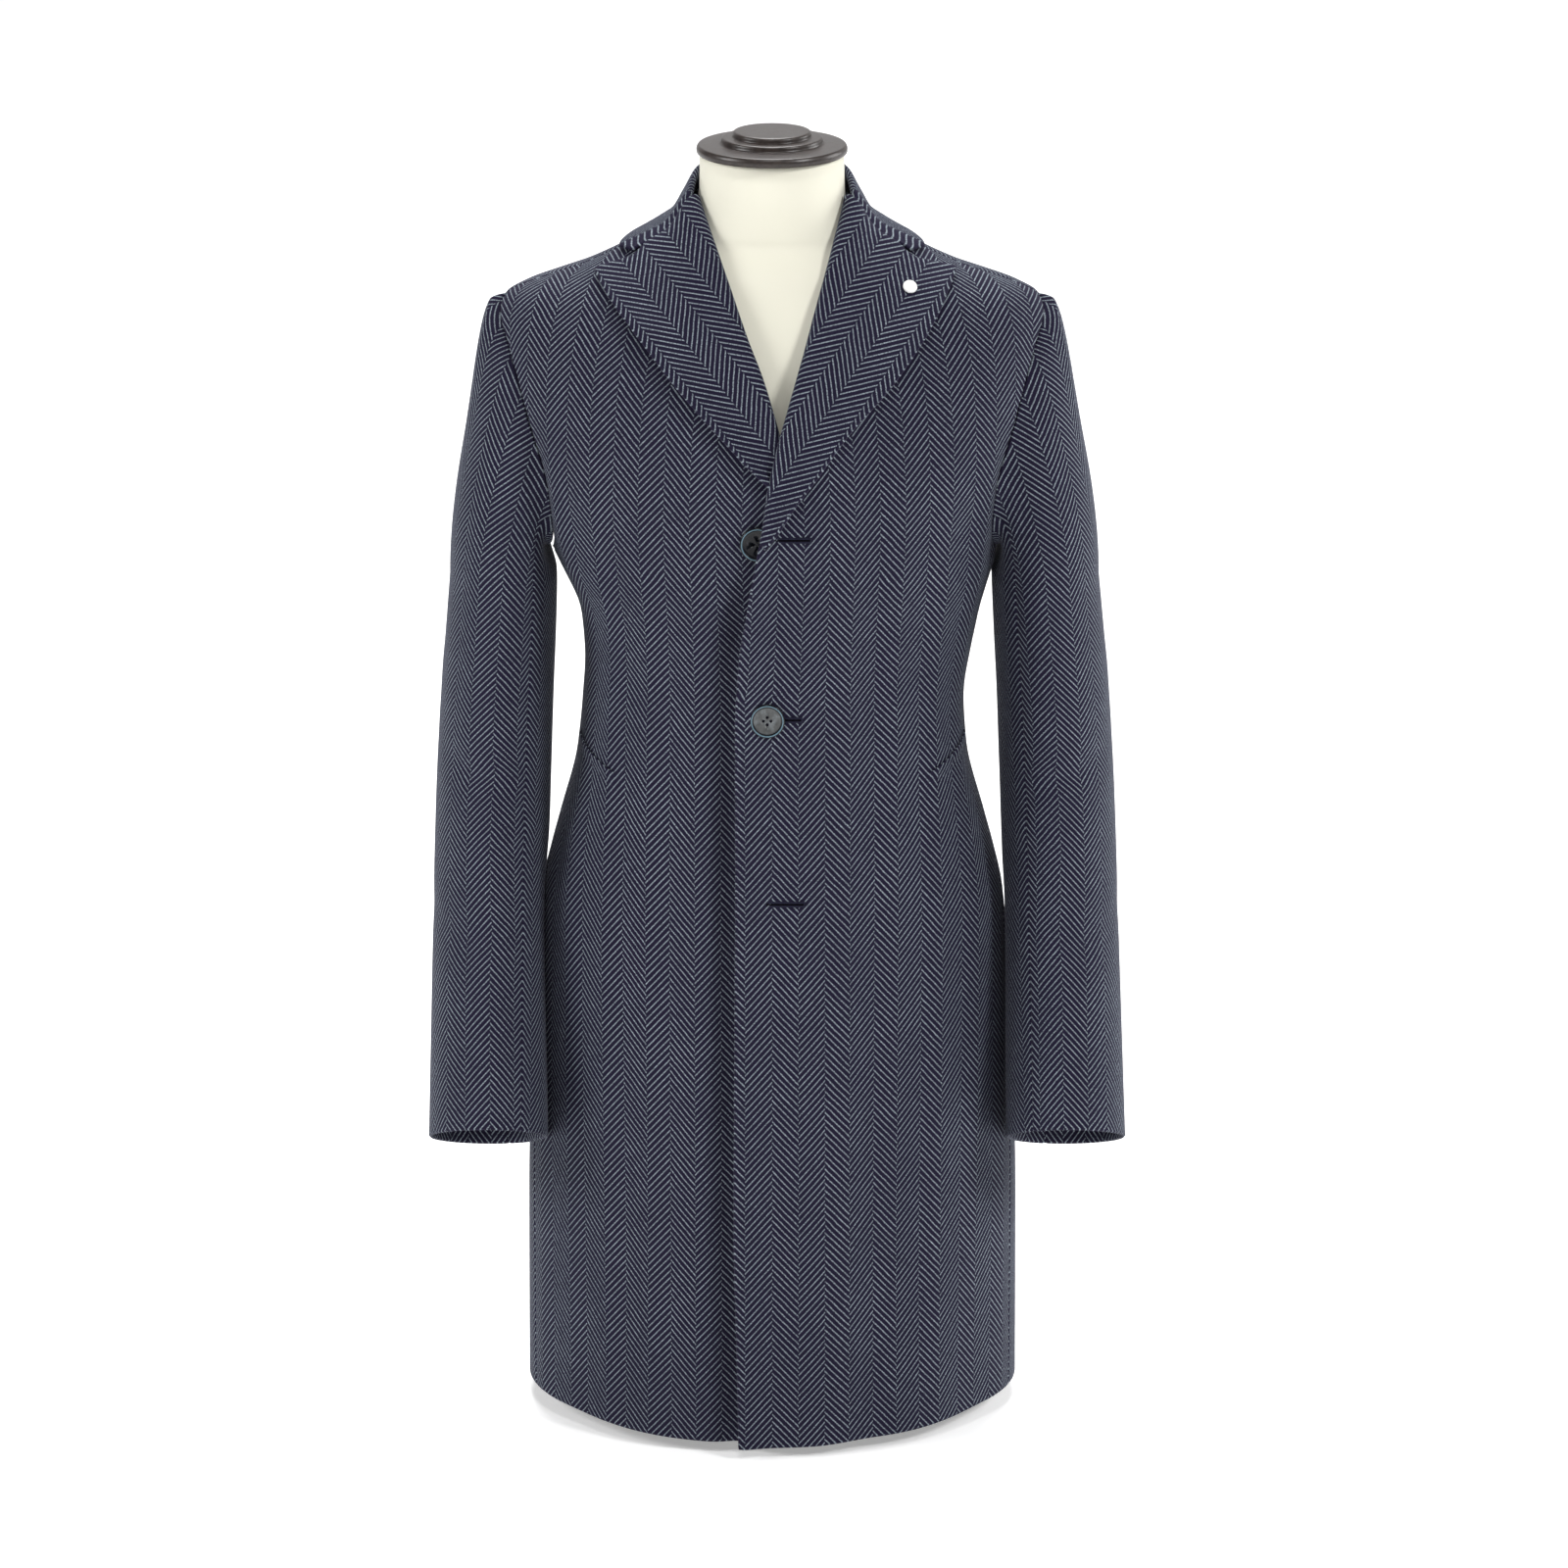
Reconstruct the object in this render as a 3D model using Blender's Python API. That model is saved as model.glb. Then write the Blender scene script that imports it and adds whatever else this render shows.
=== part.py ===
"""Knee-length single-breasted overcoat on a limbless dress form, in metres, +Z up, front towards -Y."""
import math

import bmesh
import bpy
import numpy as np

# Cloth and gaps
WALL = 0.0024
SEAM = 0.0004
LAP_LIFT = 0.0078
LAP_FULL_X = 0.030
LAP_END_X = 0.085
LAP_FADE_Z = (0.820, 0.950)
ON_CLOTH = 0.0010
LAPEL_ON = 0.0013

# Heights
HEM_Z = 0.010
ARMPIT_Z = 0.712
SHOULDER_TIP_Z = 0.918
NECK_EDGE_Z = 0.990

# Outside of the coat's body: height, half width, front depth, back depth, roundness
BODY_RINGS = (
    (0.010, 0.1975, 0.152, 0.150, 1.95),
    (0.180, 0.1968, 0.150, 0.150, 1.98),
    (0.300, 0.1930, 0.144, 0.147, 2.05),
    (0.380, 0.1885, 0.139, 0.142, 2.12),
    (0.430, 0.1845, 0.134, 0.136, 2.20),
    (0.465, 0.1768, 0.130, 0.129, 2.25),
    (0.490, 0.1700, 0.128, 0.124, 2.30),
    (0.550, 0.1550, 0.122, 0.109, 2.30),
    (0.600, 0.1515, 0.120, 0.101, 2.30),
    (0.660, 0.1575, 0.123, 0.104, 2.35),
    (0.712, 0.1720, 0.127, 0.112, 2.40),
    (0.760, 0.1900, 0.127, 0.118, 2.40),
    (0.800, 0.2010, 0.123, 0.121, 2.40),
    (0.840, 0.2100, 0.115, 0.120, 2.30),
    (0.870, 0.2145, 0.105, 0.115, 2.20),
    (0.900, 0.2160, 0.090, 0.105, 2.10),
    (0.915, 0.2110, 0.081, 0.098, 2.00),
    (0.924, 0.1980, 0.075, 0.093, 2.00),
    (0.932, 0.1780, 0.070, 0.088, 2.00),
    (0.940, 0.1550, 0.066, 0.084, 2.00),
    (0.955, 0.1180, 0.058, 0.077, 2.00),
    (0.971, 0.0880, 0.052, 0.070, 2.00),
    (0.985, 0.0720, 0.049, 0.065, 2.00),
    (1.000, 0.0660, 0.048, 0.062, 2.00),
)

# Soft flutes of the skirt: angle from centre front, half angle, depth outward, height where it dies out
SKIRT_FLUTES = (
    (34.0, 11.0, 0.0030, 0.36),
    (58.0, 9.0, -0.0022, 0.42),
    (112.0, 13.0, 0.0040, 0.45),
    (140.0, 12.0, -0.0036, 0.40),
    (166.0, 11.0, 0.0034, 0.36),
    (-29.0, 12.0, 0.0026, 0.33),
    (-55.0, 10.0, -0.0024, 0.40),
    (-108.0, 12.0, 0.0036, 0.43),
    (-136.0, 13.0, -0.0034, 0.42),
    (-160.0, 10.0, 0.0030, 0.35),
)

# Free edge, then roll line, of each front: height, distance past centre (left front), (right front)
FRONT_EDGE = (
    (0.010, -0.0245, 0.0245),
    (0.084, -0.0257, 0.0250),
    (0.190, -0.0278, 0.0265),
    (0.450, -0.0268, 0.0265),
    (0.600, -0.0266, 0.0260),
    (0.658, -0.0235, 0.0260),
    (0.694, -0.0180, 0.0260),
    (0.725, -0.0127, 0.0258),
    (0.746, -0.0089, 0.0252),
    (0.762, -0.0043, 0.0228),
    (0.785, 0.0003, 0.0175),
    (0.818, 0.0079, 0.0070),
    (0.856, 0.0193, -0.0053),
    (0.900, 0.0330, -0.0233),
    (0.944, 0.0467, -0.0409),
    (0.978, 0.0560, -0.0530),
    (0.990, 0.0595, -0.0585),
)

# Side seam below the armpit: height, angle from centre front
SIDE_SEAM = (
    (0.010, 76.0),
    (0.200, 77.0),
    (0.420, 83.0),
    (0.600, 89.0),
    (0.712, 92.0),
)

# Armhole seam: height, angle on the front, angle on the back
ARMHOLE = (
    (0.712, 92.0, 92.0),
    (0.718, 81.5, 102.0),
    (0.729, 73.5, 109.5),
    (0.748, 67.5, 115.5),
    (0.775, 65.0, 118.5),
    (0.805, 64.8, 119.0),
    (0.835, 65.5, 118.0),
    (0.862, 68.5, 115.0),
    (0.886, 74.0, 109.0),
    (0.904, 81.5, 100.5),
    (0.918, 90.0, 90.0),
)

# Section heights of the body cloth below and above the armhole
LOWER_ROWS = (0.010, 0.080, 0.160, 0.240, 0.310, 0.380, 0.440, 0.500, 0.550, 0.600, 0.645, 0.680)
UPPER_ROWS = (0.926, 0.934, 0.943, 0.954, 0.966, 0.978, 0.990)

# Sleeve tube: height, distance out, depth, half width, half depth, forward tilt in degrees,
# how much nearer the body the right sleeve hangs
SLEEVE_RINGS = (
    (0.690, 0.2163, 0.0030, 0.0428, 0.0750, 0.0, 0.0036),
    (0.640, 0.2200, 0.0030, 0.0440, 0.0745, 1.5, 0.0043),
    (0.592, 0.2235, 0.0020, 0.0449, 0.0740, 3.5, 0.0047),
    (0.550, 0.2257, -0.0005, 0.0455, 0.0730, 6.5, 0.0048),
    (0.510, 0.2275, -0.0050, 0.0458, 0.0720, 10.0, 0.0050),
    (0.465, 0.2290, -0.0130, 0.0460, 0.0712, 13.5, 0.0052),
    (0.420, 0.2302, -0.0230, 0.0462, 0.0703, 16.0, 0.0056),
    (0.360, 0.2318, -0.0385, 0.0466, 0.0690, 19.0, 0.0062),
    (0.300, 0.2332, -0.0560, 0.0472, 0.0675, 21.5, 0.0070),
    (0.243, 0.2345, -0.0735, 0.0478, 0.0662, 23.5, 0.0078),
)
SLEEVE_CLEAR = 0.0016
SLEEVE_SOFT = 0.0030
SLEEVE_HEAD_BULGE = 0.0085
SLEEVE_HEAD_STEPS = 5
SLEEVE_HEAD_OUT = 0.012
SLEEVE_HEAD_DROP = 0.40
# Sleeve creases: height, angle on the tube (0 front, 90 outside), half height, half angle, depth
SLEEVE_CREASES = (
    (0.530, 10.0, 0.020, 40.0, -0.0030),
    (0.480, -25.0, 0.018, 45.0, 0.0022),
    (0.590, 150.0, 0.024, 50.0, 0.0026),
    (0.400, 40.0, 0.022, 45.0, -0.0020),
)
FOREARM_SEAM_COLUMN = 3
HINDARM_SEAM_COLUMN = 4

# Lapels: roll line height and distance out, free edge height and distance out, from the break upward
LAPEL_ROWS = {
    "left": (
        (0.749, -0.0080, 0.7450, -0.0050),
        (0.766, -0.0036, 0.7570, 0.0030),
        (0.785, 0.0003, 0.7740, 0.0140),
        (0.818, 0.0079, 0.7990, 0.0330),
        (0.845, 0.0160, 0.8310, 0.0580),
        (0.873, 0.0245, 0.8630, 0.0893),
        (0.900, 0.0330, 0.9000, 0.1184),
        (0.935, 0.0440, 0.9230, 0.1325),
    ),
    "right": (
        (0.757, -0.0236, 0.7520, -0.0200),
        (0.780, -0.0187, 0.7760, -0.0115),
        (0.822, -0.0056, 0.8128, 0.0233),
        (0.845, 0.0015, 0.8372, 0.0468),
        (0.872, 0.0110, 0.8623, 0.0704),
        (0.901, 0.0235, 0.8960, 0.1000),
        (0.936, 0.0380, 0.9235, 0.1240),
    ),
}
# Gorge seam and top edge of the lapel, from the roll line to the tip: height, distance out
GORGE = {
    "left": ((0.9860, 0.0590), (0.9775, 0.0700), (0.9690, 0.0800), (0.9590, 0.0930), (0.9495, 0.1095), (0.9395, 0.1420)),
    "right": ((0.9860, 0.0580), (0.9775, 0.0690), (0.9695, 0.0790), (0.9595, 0.0920), (0.9505, 0.1080), (0.9395, 0.1365)),
}
ROLL_PUFF = 0.0026
GORGE_SHARE = 0.80
GORGE_GAP = 0.0008
LAPEL_STEPS = 21
LAPEL_COLUMNS = 7

# Collar, front end to centre back: fold x, y, z, then angle and height of the outer edge on the coat
COLLAR_ROWS = (
    (0.0645, -0.0205, 0.9990, 64.5, 0.9545),
    (0.0640, -0.0150, 1.0030, 81.0, 0.9548),
    (0.0618, 0.0020, 1.0105, 100.0, 0.9600),
    (0.0568, 0.0220, 1.0150, 122.0, 0.9620),
    (0.0446, 0.0425, 1.0170, 143.0, 0.9630),
    (0.0243, 0.0565, 1.0180, 162.0, 0.9640),
    (0.0000, 0.0615, 1.0180, 180.0, 0.9645),
)
# Fall of the collar: share of the way out, share of the way down
COLLAR_FALL = ((0.19, 0.24), (0.40, 0.58), (0.68, 0.79), (1.0, 1.0))
COLLAR_OFF = 0.0050
STAND_LIFT = 0.0026

# Pocket welts: angle and height of the front end, angle and height of the back end
POCKET = (50.0, 0.5477, 82.0, 0.5670)
WELT_HIGH = 0.011
WELT_THICK = 0.0014

# Buttons: distance out from centre, height, how far its back lies outside the body surface
BUTTONS = {
    "button_top": (-0.0112, 0.7463, 0.0004),
    "button_middle": (-0.0036, 0.6042, LAP_LIFT + 0.0004),
    "button_bottom": (-0.0020, 0.4544, 0.0004),
}
BUTTON_R = 0.0140
BUTTON_THICK = 0.0040
BUTTON_RIM = 0.0021
BUTTON_DISH = 0.0011
HOLE_R = 0.0012
HOLE_OFF = 0.0029
LAPEL_BUTTON = (0.1063, 0.9316)
LAPEL_BUTTON_R = 0.0058
LAPEL_BUTTON_HIGH = 0.0030
LATHE_STEPS = 40

# Dress form
FORM_BOTTOM_Z = 0.330
FORM_SHOULDER_GAP = 0.0016
FORM_WAIST_GAP = 0.0100
FORM_TIP_GAP = 0.0060
FORM_NECK = (
    (0.9580, 0.0960, 0.0480, 0.0640),
    (0.9680, 0.0740, 0.0465, 0.0590),
    (0.9840, 0.0605, 0.0470, 0.0535),
    (1.0000, 0.0572, 0.0490, 0.0515),
    (1.0282, 0.0565, 0.0500, 0.0510),
)
CAP_STEPS = ((1.0285, 0.0570), (1.0300, 0.0590), (1.0350, 0.0590), (1.0365, 0.0575), (1.0365, 0.0396),
             (1.0415, 0.0396), (1.0415, 0.0302), (1.0425, 0.0311), (1.0460, 0.0300), (1.0469, 0.0285))
POLE_R = 0.0160
BASE_R = 0.110
BASE_THICK = 0.008

# Colours
CLOTH_COLOUR = (0.075, 0.082, 0.125, 1.0)
FORM_COLOUR = (0.83, 0.80, 0.70, 1.0)
CAP_COLOUR = (0.020, 0.014, 0.012, 1.0)
BUTTON_COLOUR = (0.18, 0.22, 0.32, 1.0)
WHITE_COLOUR = (0.85, 0.85, 0.84, 1.0)
METAL_COLOUR = (0.35, 0.35, 0.36, 1.0)


def smooth_through(xs, ys, x):
    """Value at x of a smooth curve through the points that never overshoots them."""
    xs, ys = np.asarray(xs, float), np.asarray(ys, float)
    x = min(max(x, xs[0]), xs[-1])
    i = int(min(max(np.searchsorted(xs, x) - 1, 0), len(xs) - 2))
    step = np.diff(xs)
    slope = np.diff(ys) / step
    turn = np.zeros(len(xs))
    turn[0], turn[-1] = slope[0], slope[-1]
    for k in range(1, len(xs) - 1):
        if slope[k - 1] * slope[k] > 0:
            turn[k] = 2 * slope[k - 1] * slope[k] / (slope[k - 1] + slope[k])
    t = (x - xs[i]) / step[i]
    return float(ys[i] * (1 + 2 * t) * (1 - t) ** 2 + step[i] * turn[i] * t * (1 - t) ** 2
                 + ys[i + 1] * t * t * (3 - 2 * t) + step[i] * turn[i + 1] * t * t * (t - 1))


def column(table, k):
    """One named column of a table."""
    return [row[k] for row in table]


def read(table, x, k):
    """Smooth reading of column k of a table at x in its first column."""
    return smooth_through(column(table, 0), column(table, k), x)


def ease(t):
    """Soft step from 0 to 1."""
    t = min(max(t, 0.0), 1.0)
    return t * t * (3 - 2 * t)


def unit(v):
    """Vector of length one."""
    return v / max(float(np.linalg.norm(v)), 1e-12)


def flute(angle, z):
    """How far the skirt's flutes stand out at an angle and height."""
    out = 0.0
    for middle, half, depth, top in SKIRT_FLUTES:
        off = (angle - middle + 180.0) % 360.0 - 180.0
        out += depth * math.exp(-(off / half) ** 2) * ease((top - z) / (top - HEM_Z))
    return out


def body_point(angle, z):
    """Point on the outside of the body cloth, the angle in degrees from centre front towards the left."""
    w, f, b, n = (read(BODY_RINGS, z, k) for k in range(1, 5))
    a = math.radians(angle)
    s, c = math.sin(a), math.cos(a)
    x = w * math.copysign(abs(s) ** (2 / n), s)
    y = -(f if c > 0 else b) * math.copysign(abs(c) ** (2 / n), c)
    scale = 1.0 + flute(angle, z) / max(math.hypot(x, y), 1e-6)
    return np.array((x * scale, y * scale, z))


def body_normal(angle, z):
    """Outward direction of the body cloth."""
    da, dz = 0.4, 0.0012
    across = body_point(angle + da, z) - body_point(angle - da, z)
    up = body_point(angle, z + dz) - body_point(angle, z - dz)
    return unit(np.cross(across, up))


def angle_at(x, z):
    """Angle of the front point at a distance out from centre."""
    w, n = read(BODY_RINGS, z, 1), read(BODY_RINGS, z, 4)
    share = min(abs(x) / w, 1.0)
    return math.copysign(math.degrees(math.asin(share ** (n / 2))), x)


def seam_angle(angle, z):
    """Half a seam gap as an angle."""
    reach = np.linalg.norm(body_point(angle + 0.5, z) - body_point(angle - 0.5, z))
    return SEAM / 2 / max(reach, 1e-6)


def lap_lift(x, z):
    """How far the left front stands off where it lies on the right front, dying out above the break."""
    fade = 1 - ease((z - LAP_FADE_Z[0]) / (LAP_FADE_Z[1] - LAP_FADE_Z[0]))
    return LAP_LIFT * ease((LAP_END_X - x) / (LAP_END_X - LAP_FULL_X)) * fade


def material(name, colour, rough, metal=0.0):
    """Plain finish."""
    mat = bpy.data.materials.new(name)
    mat.use_nodes = True
    node = mat.node_tree.nodes["Principled BSDF"]
    node.inputs["Base Color"].default_value = colour
    node.inputs["Roughness"].default_value = rough
    node.inputs["Metallic"].default_value = metal
    return mat


def add_mesh(name, points, faces, mat, group):
    """Closed body from points and faces, turned outward."""
    mesh = bpy.data.meshes.new(name)
    mesh.from_pydata([tuple(map(float, p)) for p in points], [], faces)
    bm = bmesh.new()
    bm.from_mesh(mesh)
    bmesh.ops.recalc_face_normals(bm, faces=bm.faces)
    if bm.calc_volume(signed=True) < 0:
        bmesh.ops.reverse_faces(bm, faces=bm.faces)
    bm.to_mesh(mesh)
    bm.free()
    obj = bpy.data.objects.new(name, mesh)
    mesh.materials.append(mat)
    group.objects.link(obj)
    return obj


def sheet(name, outer, inner, mat, group):
    """Cloth wall between two grids of points."""
    rows, cols = len(outer), len(outer[0])
    points = [p for row in outer for p in row] + [p for row in inner for p in row]
    back = rows * cols
    faces = []
    for i in range(rows - 1):
        for j in range(cols - 1):
            a, b, c, d = i * cols + j, i * cols + j + 1, (i + 1) * cols + j + 1, (i + 1) * cols + j
            faces.append((a, b, c, d))
            faces.append((a + back, d + back, c + back, b + back))
    rim = [j for j in range(cols)]
    rim += [i * cols + cols - 1 for i in range(1, rows)]
    rim += [(rows - 1) * cols + j for j in range(cols - 2, -1, -1)]
    rim += [i * cols for i in range(rows - 2, 0, -1)]
    for k, a in enumerate(rim):
        b = rim[(k + 1) % len(rim)]
        faces.append((b, a, a + back, b + back))
    return add_mesh(name, points, faces, mat, group)


def arm_angle(z, k):
    """Angle of the armhole seam at one of the armhole's own heights."""
    return dict((row[0], row[k]) for row in ARMHOLE)[z]


def body_rows():
    """Heights of the body's sections."""
    return LOWER_ROWS + tuple(column(ARMHOLE, 0)) + UPPER_ROWS


def outer_angle(z, k):
    """Outer limit of the front (k 1) or the back (k 2) at a height."""
    if z <= ARMPIT_Z:
        return read(SIDE_SEAM, z, 1)
    if z <= SHOULDER_TIP_Z:
        return arm_angle(z, k)
    return 90.0


def front_panel(side, mat, group):
    """Front from its free edge and roll line to the side seam, armhole and shoulder seam."""
    sign, k = (1, 1) if side == "left" else (-1, 2)
    cols = 11
    outer, inner = [], []
    for z in body_rows():
        start = angle_at(read(FRONT_EDGE, z, k), z)
        end = sign * (outer_angle(z, 1) - seam_angle(outer_angle(z, 1), z))
        row_out, row_in = [], []
        for j in range(cols):
            t = j / (cols - 1)
            angle = start + (end - start) * t
            p, n = body_point(angle, z), body_normal(angle, z)
            off = lap_lift(p[0], z) if side == "left" else 0.0
            row_out.append(p + n * off)
            row_in.append(p + n * (off - WALL))
        outer.append(row_out)
        inner.append(row_in)
    return sheet("front_" + side, outer, inner, mat, group)


def back_panel(mat, group):
    """Back in one piece from side seam to side seam."""
    cols = 16
    outer, inner = [], []
    for z in body_rows():
        start = outer_angle(z, 2) + seam_angle(outer_angle(z, 2), z)
        row_out, row_in = [], []
        for j in range(cols):
            angle = start + (360.0 - 2 * start) * j / (cols - 1)
            p, n = body_point(angle, z), body_normal(angle, z)
            row_out.append(p)
            row_in.append(p - n * WALL)
        outer.append(row_out)
        inner.append(row_in)
    return sheet("back", outer, inner, mat, group)


def armhole_loop():
    """Left armhole seam from the shoulder tip down the front and up the back: angle and height."""
    front = [(row[1], row[0]) for row in reversed(ARMHOLE)]
    back = [(row[2], row[0]) for row in ARMHOLE[1:-1]]
    return front + back


def sleeve_crease(turn, z):
    """How far the sleeve's creases stand out at an angle on the tube and a height."""
    out = 0.0
    for mid_z, mid_turn, half_z, half_turn, depth in SLEEVE_CREASES:
        off = (turn - mid_turn + 180.0) % 360.0 - 180.0
        out += depth * math.exp(-(off / half_turn) ** 2 - ((z - mid_z) / half_z) ** 2)
    return out


def clear_of_body(p):
    """Distance out of a sleeve point, kept softly off the body cloth."""
    w, f, b, n = (read(BODY_RINGS, p[2], k) for k in range(1, 5))
    share = 1.0 - (abs(p[1]) / (f if p[1] < 0 else b)) ** n
    if share <= 0.0:
        return p[0]
    low = w * share ** (1 / n) + SLEEVE_CLEAR
    return low + (p[0] - low + math.hypot(p[0] - low, SLEEVE_SOFT)) / 2


def tube_point(row, turn, side):
    """Point of a sleeve tube on one ring, as on the left, the turn 0 in front and 90 outside."""
    z, x, y, half_w, half_d, tilt, nearer = row
    x = x - nearer if side == "right" else x
    t, a = math.radians(tilt), math.radians(turn)
    forward = np.array((0.0, -math.cos(t), math.sin(t)))
    outward = np.array((1.0, 0.0, 0.0))
    spoke = half_w * math.sin(a) * outward + half_d * math.cos(a) * forward
    p = np.array((x, y, z)) + spoke + unit(spoke) * sleeve_crease(turn, z)
    p[0] = clear_of_body(p)
    return p


def sleeve_grid(side):
    """Outer and inner grids of a whole sleeve, as on the left, closed round each ring."""
    loop = armhole_loop()
    count = len(loop)
    middle = sum(body_point(a, z) for a, z in loop) / count
    starts, walls = [], []
    for angle, z in loop:
        p, n = body_point(angle, z), body_normal(angle, z)
        towards = middle - p
        towards = unit(towards - n * float(towards @ n))
        starts.append((p + towards * SEAM * 2.0, towards))
        walls.append(n)
    turns = [90.0 - 360.0 * i / count for i in range(count)]
    first = SLEEVE_RINGS[0]
    grid = []
    for s in range(SLEEVE_HEAD_STEPS + 1):
        t = s / SLEEVE_HEAD_STEPS
        ring = []
        for (p0, towards), n, turn in zip(starts, walls, turns):
            p3 = tube_point(first, turn, side)
            gap = float(np.linalg.norm(p3 - p0))
            p1 = p0 + (n * 0.75 + towards * 0.65) * min(SLEEVE_HEAD_OUT, gap * 0.4)
            p2 = p3 + np.array((0.0, 0.0, 1.0)) * gap * SLEEVE_HEAD_DROP
            p = p0 * (1 - t) ** 3 + p1 * 3 * t * (1 - t) ** 2 + p2 * 3 * t * t * (1 - t) + p3 * t ** 3
            bulge = SLEEVE_HEAD_BULGE * ease(t / 0.10) * (1 - ease((t - 0.15) / 0.5))
            p[0] += bulge * max(math.sin(math.radians(turn)), 0.0) ** 2
            ring.append(p)
        grid.append(ring)
    for row in SLEEVE_RINGS[1:]:
        grid.append([tube_point(row, turn, side) for turn in turns])
    inner = []
    for i, ring in enumerate(grid):
        above, below = grid[max(i - 1, 0)], grid[min(i + 1, len(grid) - 1)]
        thin = []
        for j, p in enumerate(ring):
            across = ring[(j + 1) % count] - ring[j - 1]
            n = unit(np.cross(below[j] - above[j], across))
            if i == 0:
                n = -walls[j]
            thin.append(p + n * WALL)
        inner.append(thin)
    return grid, inner


def sleeves(mat, group):
    """Top sleeve and under sleeve of both sides."""
    for side, sign in (("left", 1.0), ("right", -1.0)):
        grid, inner = sleeve_grid(side)
        count = len(grid[0])
        forearm = count // 2 - FOREARM_SEAM_COLUMN
        hindarm = count // 2 + HINDARM_SEAM_COLUMN
        under = list(range(forearm, hindarm + 1))
        top = list(range(hindarm, count)) + list(range(0, forearm + 1))
        turn = np.array((sign, 1.0, 1.0))
        for name, columns in (("top_sleeve", top), ("under_sleeve", under)):
            cut_out, cut_in = [], []
            for ring, thin in zip(grid, inner):
                row_out = [ring[j].copy() for j in columns]
                row_in = [thin[j].copy() for j in columns]
                first = unit(row_out[1] - row_out[0]) * SEAM
                last = unit(row_out[-2] - row_out[-1]) * SEAM
                row_out[0], row_in[0] = row_out[0] + first, row_in[0] + first
                row_out[-1], row_in[-1] = row_out[-1] + last, row_in[-1] + last
                cut_out.append([p * turn for p in row_out])
                cut_in.append([p * turn for p in row_in])
            sheet(name + "_" + side, cut_out, cut_in, mat, group)


def on_front(side, x, z, off):
    """Point on a front at a distance out from centre, moved out from the cloth."""
    sign = 1.0 if side == "left" else -1.0
    angle = angle_at(sign * x, z)
    p, n = body_point(angle, z), body_normal(angle, z)
    lift = lap_lift(p[0], z) if side == "left" else 0.0
    return p + n * (lift + off)


def grid_value(paths, up, over, k):
    """Reading between the rows and columns of a grid of heights and distances."""
    places = list(range(len(paths)))
    i = min(int(over), len(paths[0]) - 2)
    line = [path[i][k] + (path[i + 1][k] - path[i][k]) * (over - i) for path in paths]
    return smooth_through(places, line, up)


def lapel(side, mat, group):
    """Lapel turned back on its front, a little raised along the roll line."""
    gorge = GORGE[side]
    cols = len(gorge)
    paths = []
    for roll_z, roll_x, edge_z, edge_x in LAPEL_ROWS[side]:
        paths.append([(roll_z + (edge_z - roll_z) * j / (cols - 1), roll_x + (edge_x - roll_x) * j / (cols - 1))
                      for j in range(cols)])
    paths.append(list(gorge))
    last = len(paths) - 1
    outer, inner = [], []
    for i in range(LAPEL_STEPS + 1):
        up = last * i / LAPEL_STEPS
        puff = ROLL_PUFF * ease((up - last + 4.8) / 2.5)
        row_out, row_in = [], []
        for j in range(LAPEL_COLUMNS + 1):
            over = (cols - 1) * j / LAPEL_COLUMNS
            z, x = (grid_value(paths, up, over, k) for k in range(2))
            off = LAPEL_ON + puff * (1 - ease(over / 2.5))
            row_in.append(on_front(side, x, z, off))
            row_out.append(on_front(side, x, z, off + WALL))
        outer.append(row_out)
        inner.append(row_in)
    sew_to_collar(side, outer, inner)
    return sheet("lapel_" + side, outer, inner, mat, group)


def sew_to_collar(side, outer, inner):
    """Bring the top rows of a lapel up to the collar's front end, as far as the notch."""
    first = COLLAR_ROWS[0]
    turn = np.array((1.0 if side == "left" else -1.0, 1.0, 1.0))
    seam = np.array([p * turn for p in collar_row(np.array(first[:3]), first[3], first[4])[3:]])
    run = np.concatenate(([0.0], np.cumsum(np.linalg.norm(np.diff(seam, axis=0), axis=1))))
    tops = [p.copy() for p in outer[-1]]
    for j, top in enumerate(tops):
        share = j / (len(tops) - 1)
        place = min(share / GORGE_SHARE, 1.0) * run[-1]
        goal = np.array([np.interp(place, run, seam[:, k]) for k in range(3)])
        gap = GORGE_GAP * (2.2 - 1.2 * ease(share / 0.3))
        shift = goal + unit(outer[-3][j] - goal) * gap - top
        shift = shift * (1 - ease((share - GORGE_SHARE) / 0.10))
        for i in range(len(outer)):
            up = i / (len(outer) - 1)
            outer[i][j] = outer[i][j] + shift * ease((up - 0.62) / 0.38) ** 1.3
            inner[i][j] = inner[i][j] + shift * ease((up - 0.62) / 0.38) ** 1.3


def collar_row(fold, angle, z_edge):
    """One section of the left half of the collar: stand, fold and fall."""
    edge = body_point(angle, z_edge) + body_normal(angle, z_edge) * COLLAR_OFF
    base = body_point(angle, NECK_EDGE_Z) + np.array((0.0, 0.0, STAND_LIFT))
    stand = base - body_normal(angle, NECK_EDGE_Z) * WALL
    out = edge - fold
    flat = unit(np.array((out[0], out[1], 0.0)))
    top = fold - flat * 0.0026 - np.array((0.0, 0.0, 0.0045))
    section = [stand, stand * 0.5 + top * 0.5 - flat * 0.0004, top, fold]
    for share_out, share_down in COLLAR_FALL:
        section.append(fold + np.array((out[0] * share_out, out[1] * share_out, out[2] * share_down)))
    return section


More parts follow.
